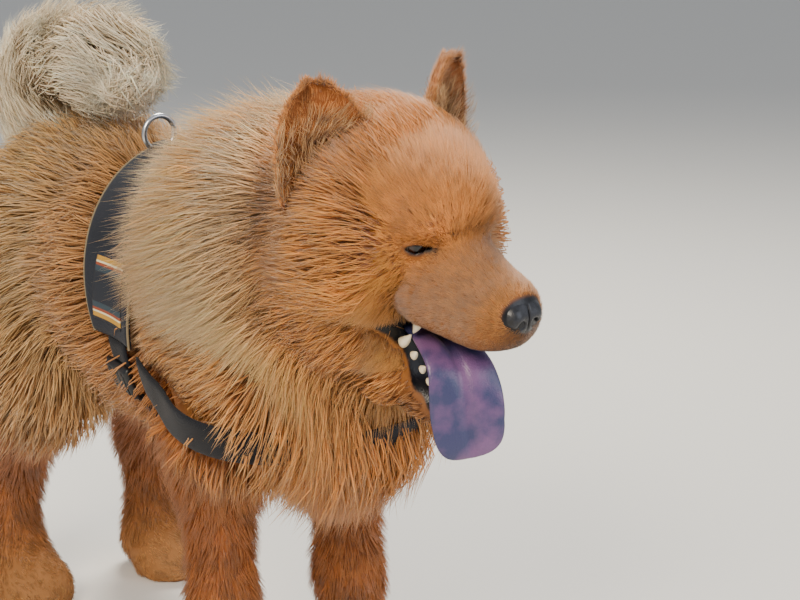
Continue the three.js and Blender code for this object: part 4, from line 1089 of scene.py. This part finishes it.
tongue_vertices, tongue_triangles = tongue_mesh()
tongue_skin = wet_material("blue_black_tongue", "#33355a", "#6b4b74", 34.0, 0.36, 1.4)
tongue = mesh_object("tongue_flesh", tongue_vertices, tongue_triangles, tongue_skin)
placed(tongue, "tongue", "tongue")


# Teeth and claws are curved, pointed cones
def horns(name, places, finish, around=12, rings=8):
    """Each place is root, way it grows, way it bends, length and radius."""
    vertices, faces = [], []
    for at, way, bend, length, radius in places:
        at, way, bend = np.array(at, float), unit(way), unit(bend)
        side = unit(np.cross(way, bend))
        start = len(vertices)
        for i in range(rings):
            t = i / rings
            middle = at + way * length * t + bend * length * 0.28 * t * t
            r = radius * (1 - t**1.7) ** 0.8
            for j in range(around):
                a = 2 * math.pi * j / around
                vertices.append(middle + side * r * math.cos(a) * 0.8 + bend * r * math.sin(a))
        vertices.append(at + way * length + bend * length * 0.28)
        for i in range(rings - 1):
            for j in range(around):
                a, b = start + i * around + j, start + i * around + (j + 1) % around
                faces += [(a, b, b + around), (a, b + around, a + around)]
        top = start + (rings - 1) * around
        faces += [(top + j, top + (j + 1) % around, top + around) for j in range(around)]
        faces += [(start, start + j + 1, start + j) for j in range(1, around - 1)]
    placed(mesh_object(name, np.array(vertices), np.array(faces), finish), "coat")


def enamel_material():
    """Ivory enamel: smooth and hard, yellower in blotches."""
    made, tree, shader = material("tooth_enamel", {"Roughness": 0.22, "IOR": 1.62})
    stain = node_in(tree, "ShaderNodeTexNoise", inputs={"Vector": place_of(tree), "Scale": 160.0})
    ramp = colour_ramp(tree, stain.outputs["Fac"], ((0.0, "#c9b489"), (1.0, "#efe6cd")))
    tree.links.new(ramp.outputs["Color"], shader.inputs["Base Color"])
    return made


def tooth(frame, at, way, length, radius):
    """A tooth that bends back, from its root and its way in the frame of the head or the jaw."""
    return turned(frame, at), rotated(frame, way), rotated(frame, (-1, 0, 0)), length, radius


teeth = []
for s in SIDES.values():
    teeth.append(tooth(HEAD, (64, s * 17, -60), (0.1, 0, -1), 16, 3.8))
    teeth.append(tooth(JAW, (66, s * 14, -7), (0.25, 0, 1), 16, 3.4))
    for x, inward, length, radius in ((2, 0, 15, 5.2), (16, 5, 7, 4.2), (30, 7, 6, 4), (42, 8, 6, 4)):
        teeth.append(tooth(HEAD, (x, s * (31 - inward), -69), (0, 0, -1), length, radius))
        root = (x + 20, s * (30 - inward - x / 8), -6)
        teeth.append(tooth(JAW, root, (0.1, 0, 1), length, radius))
    for y in (3, 8.5):
        teeth.append(tooth(HEAD, (73, s * y, -62), (0.1, 0, -1), 7, 2.4))
        teeth.append(tooth(JAW, (74, s * y * 0.9, -4), (0.2, 0, 1), 8, 2.2))
horns("teeth", teeth, enamel_material())

claws = []
for s in SIDES.values():
    for step, reach in TOES:
        for x, y in ((0, s * FORE_TRACK / 2), (HIND_FOOT, s * HIND_TRACK / 2)):
            claws.append(((x + reach + 13, y + step * 16, 12), (0.9, 0, -0.35), (0, 0, -1), 13, 3.0))
claw_horn = wet_material("claw_horn", "#2a2320", "#4a4038", 90.0, 0.4, 2.0)
horns("claws", claws, claw_horn)


# Harness
def on_core(start, way, level):
    """Points where rays from start reach a height over the coat's core."""
    near, far = np.zeros(len(start)), np.full(len(start), 330.0)
    for _ in range(22):
        middle = (near + far) / 2
        skin, coat, _, _ = form(start + way * middle[:, None], True)
        inner = skin - CORE_SHARE * coat < level
        near, far = np.where(inner, middle, near), np.where(inner, far, middle)
    return start + way * near[:, None]


def band(name, rows, columns, place, level, thickness, finish, slot, *nodes):
    """A strap or panel that lies on the core of the coat, with rounded edges."""
    a, b = np.meshgrid(np.linspace(0, 1, rows + 1), np.linspace(0, 1, columns + 1), indexing="ij")
    start, way = place(a.ravel(), b.ravel())
    shape = (rows + 1, columns + 1, 3)
    inner = on_core(start, way, level)
    edge = np.minimum(np.minimum(a, 1 - a) * rows, np.minimum(b, 1 - b) * columns).ravel()
    depth = thickness * (0.45 + 0.55 * np.minimum(edge / 1.5, 1) ** 0.5)
    outer = inner + way * depth[:, None]
    vertices, triangles = closed_sheet(inner.reshape(shape), outer.reshape(shape))
    made = mesh_object(name, vertices, triangles, finish)
    layer = made.data.uv_layers.new(name="cloth")
    lengths = np.tile(np.column_stack([(a * rows).ravel(), (b * columns).ravel()]), (2, 1))
    layer.data.foreach_set("uv", lengths[triangles.ravel()].astype(np.float32).ravel())
    return placed(made, slot, *nodes)


def cloth_material(name, base, thread, pitch, rough):
    """Woven synthetic cloth: fine crossed threads, a faint sheen, and dusty wear."""
    made, tree, shader = material(
        name, {"Roughness": rough, "IOR": 1.5, "Specular IOR Level": 0.25, "Sheen Weight": 0.06}
    )
    place = place_of(tree)
    weave = node_in(tree, "ShaderNodeTexBrick", inputs={
        "Vector": place, "Scale": 1000.0 / pitch, "Mortar Size": 0.06, "Mortar Smooth": 0.6,
        "Brick Width": 1.0, "Row Height": 0.5,
    })
    wear = node_in(tree, "ShaderNodeTexNoise", inputs={"Vector": place, "Scale": 30.0, "Detail": 6.0})
    colours = {0: wear.outputs["Fac"], 6: linear(base), 7: linear(thread)}
    mix = node_in(tree, "ShaderNodeMix", {"data_type": "RGBA"}, colours)
    tree.links.new(mix.outputs[2], shader.inputs["Base Color"])
    bump(tree, shader, weave.outputs["Fac"], 0.6, 0.0004)
    return made


panel_cloth = cloth_material("padded_panel_fabric", "#0d1119", "#1d2330", 1.2, 0.85)
webbing = cloth_material("nylon_webbing", "#08090d", "#161922", 2.0, 0.75)
handle_cloth = cloth_material("worn_handle_webbing", "#2b3442", "#4a5666", 2.0, 0.8)


def label_material():
    """A woven label: navy cloth with ochre, pale and rust border strips at both ends."""
    made, tree, shader = material("woven_label", {"Roughness": 0.75})
    place = node_in(tree, "ShaderNodeUVMap", {"uv_map": "cloth"}).outputs["UV"]
    parts = node_in(tree, "ShaderNodeSeparateXYZ", inputs={"Vector": place})
    across = node_in(
        tree, "ShaderNodeMath", {"operation": "PINGPONG"}, {0: parts.outputs["Y"], 1: 12.0}
    )
    share = node_in(tree, "ShaderNodeMapRange", inputs={"Value": across.outputs[0], "From Max": 12.0})
    ramp = colour_ramp(tree, share.outputs["Result"], (
        (0.0, "#141a26"), (0.10, "#b9892b"), (0.24, "#d9cfa8"),
        (0.30, "#8c3f22"), (0.38, "#2a3a44"), (0.55, "#141a26"),
    ))
    ramp.color_ramp.interpolation = "CONSTANT"
    tree.links.new(ramp.outputs["Color"], shader.inputs["Base Color"])
    weave = node_in(tree, "ShaderNodeTexChecker", inputs={"Vector": place, "Scale": 3.0})
    bump(tree, shader, weave.outputs["Fac"], 0.5, 0.0003)
    return made


def plastic_material():
    """Moulded buckle plastic: near black, satin, with a fine spark-eroded grain."""
    made, tree, shader = material("acetal_buckle", {"Base Color": linear("#0d0e11"), "Roughness": 0.42})
    grain = node_in(tree, "ShaderNodeTexNoise", inputs={"Vector": place_of(tree), "Scale": 1800.0})
    bump(tree, shader, grain.outputs["Fac"], 0.3, 0.0002)
    return made


def steel_material():
    """Plated steel wire with small scratches that break its shine."""
    made, tree, shader = material("plated_steel", {"Base Color": linear("#c4c6c9"), "Metallic": 1.0})
    inputs = {"Vector": place_of(tree), "Scale": 400.0, "Detail": 6.0}
    wear = node_in(tree, "ShaderNodeTexNoise", inputs=inputs)
    inputs = {"Value": wear.outputs["Fac"], "To Min": 0.18, "To Max": 0.42}
    rough = node_in(tree, "ShaderNodeMapRange", inputs=inputs)
    tree.links.new(rough.outputs["Result"], shader.inputs["Roughness"])
    return made


def thread_material():
    """Pale piping cord: twisted cotton, worn to a dusty tan."""
    made, tree, shader = material("piping_cord", {"Base Color": linear("#7d6f55"), "Roughness": 0.85})
    inputs = {"Vector": place_of(tree), "Scale": 260.0, "Distortion": 2.0}
    twist = node_in(tree, "ShaderNodeTexWave", inputs=inputs)
    bump(tree, shader, twist.outputs["Fac"], 0.5, 0.0004)
    return made


def round_axis(x, angle):
    """Starts on the trunk's axis and ways out from it, at degrees from the top of the back."""
    turn = np.radians(angle)
    start = np.column_stack([x, np.zeros(len(x)), np.full(len(x), float(TRUNK_AXIS))])
    return start, np.column_stack([np.zeros(len(x)), np.sin(turn), np.cos(turn)])


def saddle_place(a, b):
    front, rear = saddle_edges(np.abs(2 * b - 1))
    return round_axis(front + a * (rear - front), WRAP * (2 * b - 1))


def girth_place(a, b):
    """Under the belly, from one side of the saddle to the other."""
    return round_axis(GIRTH_FRONT - GIRTH_WIDTH * a, 104.6 + 150.8 * b)


def strap_place(a, b):
    share = 2 * b - 1
    turn = np.radians(WRAP * share)
    z = STRAP_TOP - STRAP_WIDTH * a + STRAP_LIFT * share**2
    start = np.column_stack([np.full(len(z), float(STRAP_START)), np.zeros(len(z)), z])
    return start, np.column_stack([np.cos(turn), np.sin(turn), np.zeros(len(z))])


def patch_place(first, last, low, high):
    """Places of a piece sewn on, between two stations along the back and two angles round it."""
    return lambda a, b: round_axis(first + a * (last - first), low + b * (high - low))


saddle = band(
    "harness_saddle_panel", 40, 120, saddle_place, 0.4, 5, panel_cloth, "harness_panel", "harness_saddle"
)
for name, columns, place in (("girth", 70, girth_place), ("chest", 120, strap_place)):
    node = f"harness_{name}_strap"
    band(f"harness_{name}", 12, columns, place, 0.4, 4, webbing, "harness_webbing", node)

woven_label = label_material()
buckle_plastic = plastic_material()
for side, s in SIDES.items():
    place = patch_place(-84, -146, s * 67, s * 97)
    node = f"harness_label_{side}"
    band(f"{node}_cloth", 24, 24, place, 5.7, 1.6, woven_label, "harness_label", node)
    place = patch_place(-84, -134, s * 114, s * 128)
    node = f"harness_buckle_{side}"
    band(f"{node}_body", 14, 12, place, 4.6, 8, buckle_plastic, "harness_plastic", node)
    for first in (-90, -104, -118):
        place = patch_place(first, first - 8, s * 116, s * 126)
        band(f"{node}_rib{-first}", 4, 8, place, 12.2, 1.6, buckle_plastic, "harness_plastic")
place = patch_place(-74, -168, -6, 6)
node = "harness_handle"
band(f"{node}_strap", 40, 12, place, 5.6, 5, handle_cloth, "harness_webbing", node)
for first in (-78, -158):
    place = patch_place(first, first - 6, -9, 9)
    band(f"{node}_stitch{-first}", 4, 16, place, 5.4, 6.4, webbing, "harness_webbing")


def tube(name, path, radius, closed, finish, slot, *nodes):
    """A round wire or cord along a path."""
    around = 14
    path = np.asarray(path, float)
    ahead = np.roll(path, -1, 0) if closed else np.vstack([path[1:], 2 * path[-1] - path[-2]])
    behind = np.roll(path, 1, 0) if closed else np.vstack([2 * path[0] - path[1], path[:-1]])
    along = unit(ahead - behind)
    across = unit(np.cross(along, np.array((0.31, 0.17, 0.93))))
    over = np.cross(across, along)
    turn = np.linspace(0, 2 * math.pi, around, endpoint=False)
    ring = across[:, None] * np.cos(turn)[:, None] + over[:, None] * np.sin(turn)[:, None]
    vertices = (path[:, None] + radius * ring).reshape(-1, 3)
    index = np.arange(len(path) * around).reshape(len(path), around)
    following = np.roll(index, -1, 0) if closed else index[1:]
    index = index if closed else index[:-1]
    corners_of = [index, np.roll(index, -1, 1), np.roll(following, -1, 1), following]
    quads = np.stack(corners_of, -1).reshape(-1, 4)
    triangles = halved(quads)
    if not closed:
        last = (len(path) - 1) * around
        fan = [(0, j, j + 1) for j in range(1, around - 1)]
        fan += [(last, last + j + 1, last + j) for j in range(1, around - 1)]
        triangles = np.concatenate([triangles, np.array(fan)])
    placed(mesh_object(name, vertices, triangles, finish), slot, *nodes)


RING_STATION, RING_ANGLE, RING_RADIUS, RING_WIRE = -186, -9, 17, 2.7
start, way = patch_place(RING_STATION, RING_STATION, RING_ANGLE, RING_ANGLE)(np.zeros(1), np.zeros(1))
ring_middle = (on_core(start, way, 5.0) + way * (RING_RADIUS - 4))[0]
turn = np.linspace(0, 2 * math.pi, 64, endpoint=False)
loop = ring_middle + RING_RADIUS * np.column_stack([np.zeros(64), np.cos(turn), np.sin(turn)])
tube("harness_ring_wire", loop, RING_WIRE, True, steel_material(), "harness_metal", "harness_ring")
band("harness_ring_tab", 16, 10, patch_place(-172, -194, -14, -4), 5.4, 3.4, webbing, "harness_webbing")

# Piping along the edges of the saddle
b = np.linspace(0, 1, 160)
piping_cord = thread_material()
for edge_name, a in (("front", 0.0), ("rear", 1.0)):
    start, way = saddle_place(np.full(len(b), a), b)
    path = on_core(start, way, 3.4)
    tube(f"harness_piping_{edge_name}", path, 1.3, False, piping_cord, "harness_webbing")

# Floor, light and camera
bpy.ops.mesh.primitive_plane_add(size=14, location=(0, 0, -0.0005))
floor = bpy.context.object
floor.name = "studio_floor"
floor_paint, _, _ = material("studio_floor_paint", {"Base Color": linear("#d9d7d2"), "Roughness": 0.6})
floor.data.materials.append(floor_paint)

world = bpy.data.worlds.new("studio")
bpy.context.scene.world = world
world.use_nodes = True
world.node_tree.nodes["Background"].inputs["Color"].default_value = linear("#e6ebf2")
world.node_tree.nodes["Background"].inputs["Strength"].default_value = 0.55


def lamp(name, place, target, width, power, hexa):
    light = bpy.data.lights.new(name, "AREA")
    light.size = width
    light.energy = power
    light.color = linear(hexa)[:3]
    made = bpy.data.objects.new(name, light)
    made.location = place
    made.rotation_euler = (Vector(target) - Vector(place)).to_track_quat("-Z", "Y").to_euler()
    bpy.context.scene.collection.objects.link(made)


lamp("key", (1.5, -2.0, 2.2), (0.1, 0, 0.4), 1.2, 118, "#fff1dc")
lamp("fill", (2.3, 1.2, 1.3), (0.1, 0, 0.35), 1.8, 34, "#eef3ff")
lamp("rim", (-1.3, 1.0, 2.3), (0.0, 0, 0.5), 0.9, 105, "#fff8ea")

ANGLE = math.radians(-36)
AHEAD = Vector((math.cos(ANGLE), math.sin(ANGLE), 0))
ASIDE = Vector((-AHEAD.y, AHEAD.x, 0))
TILT = math.radians(13.7)
camera = bpy.data.cameras.new("camera")
camera.lens = 100
camera.sensor_width = 36
camera.clip_end = 50
view = bpy.data.objects.new("camera", camera)
look = Vector((-AHEAD.x * math.cos(TILT), -AHEAD.y * math.cos(TILT), -math.sin(TILT)))
view.location = (AHEAD * 2043 + ASIDE * 110 + Vector((0, 0, 903)) + Vector(SHIFT)) / 1000
view.rotation_euler = look.to_track_quat("-Z", "Y").to_euler()
bpy.context.scene.collection.objects.link(view)
bpy.context.scene.camera = view
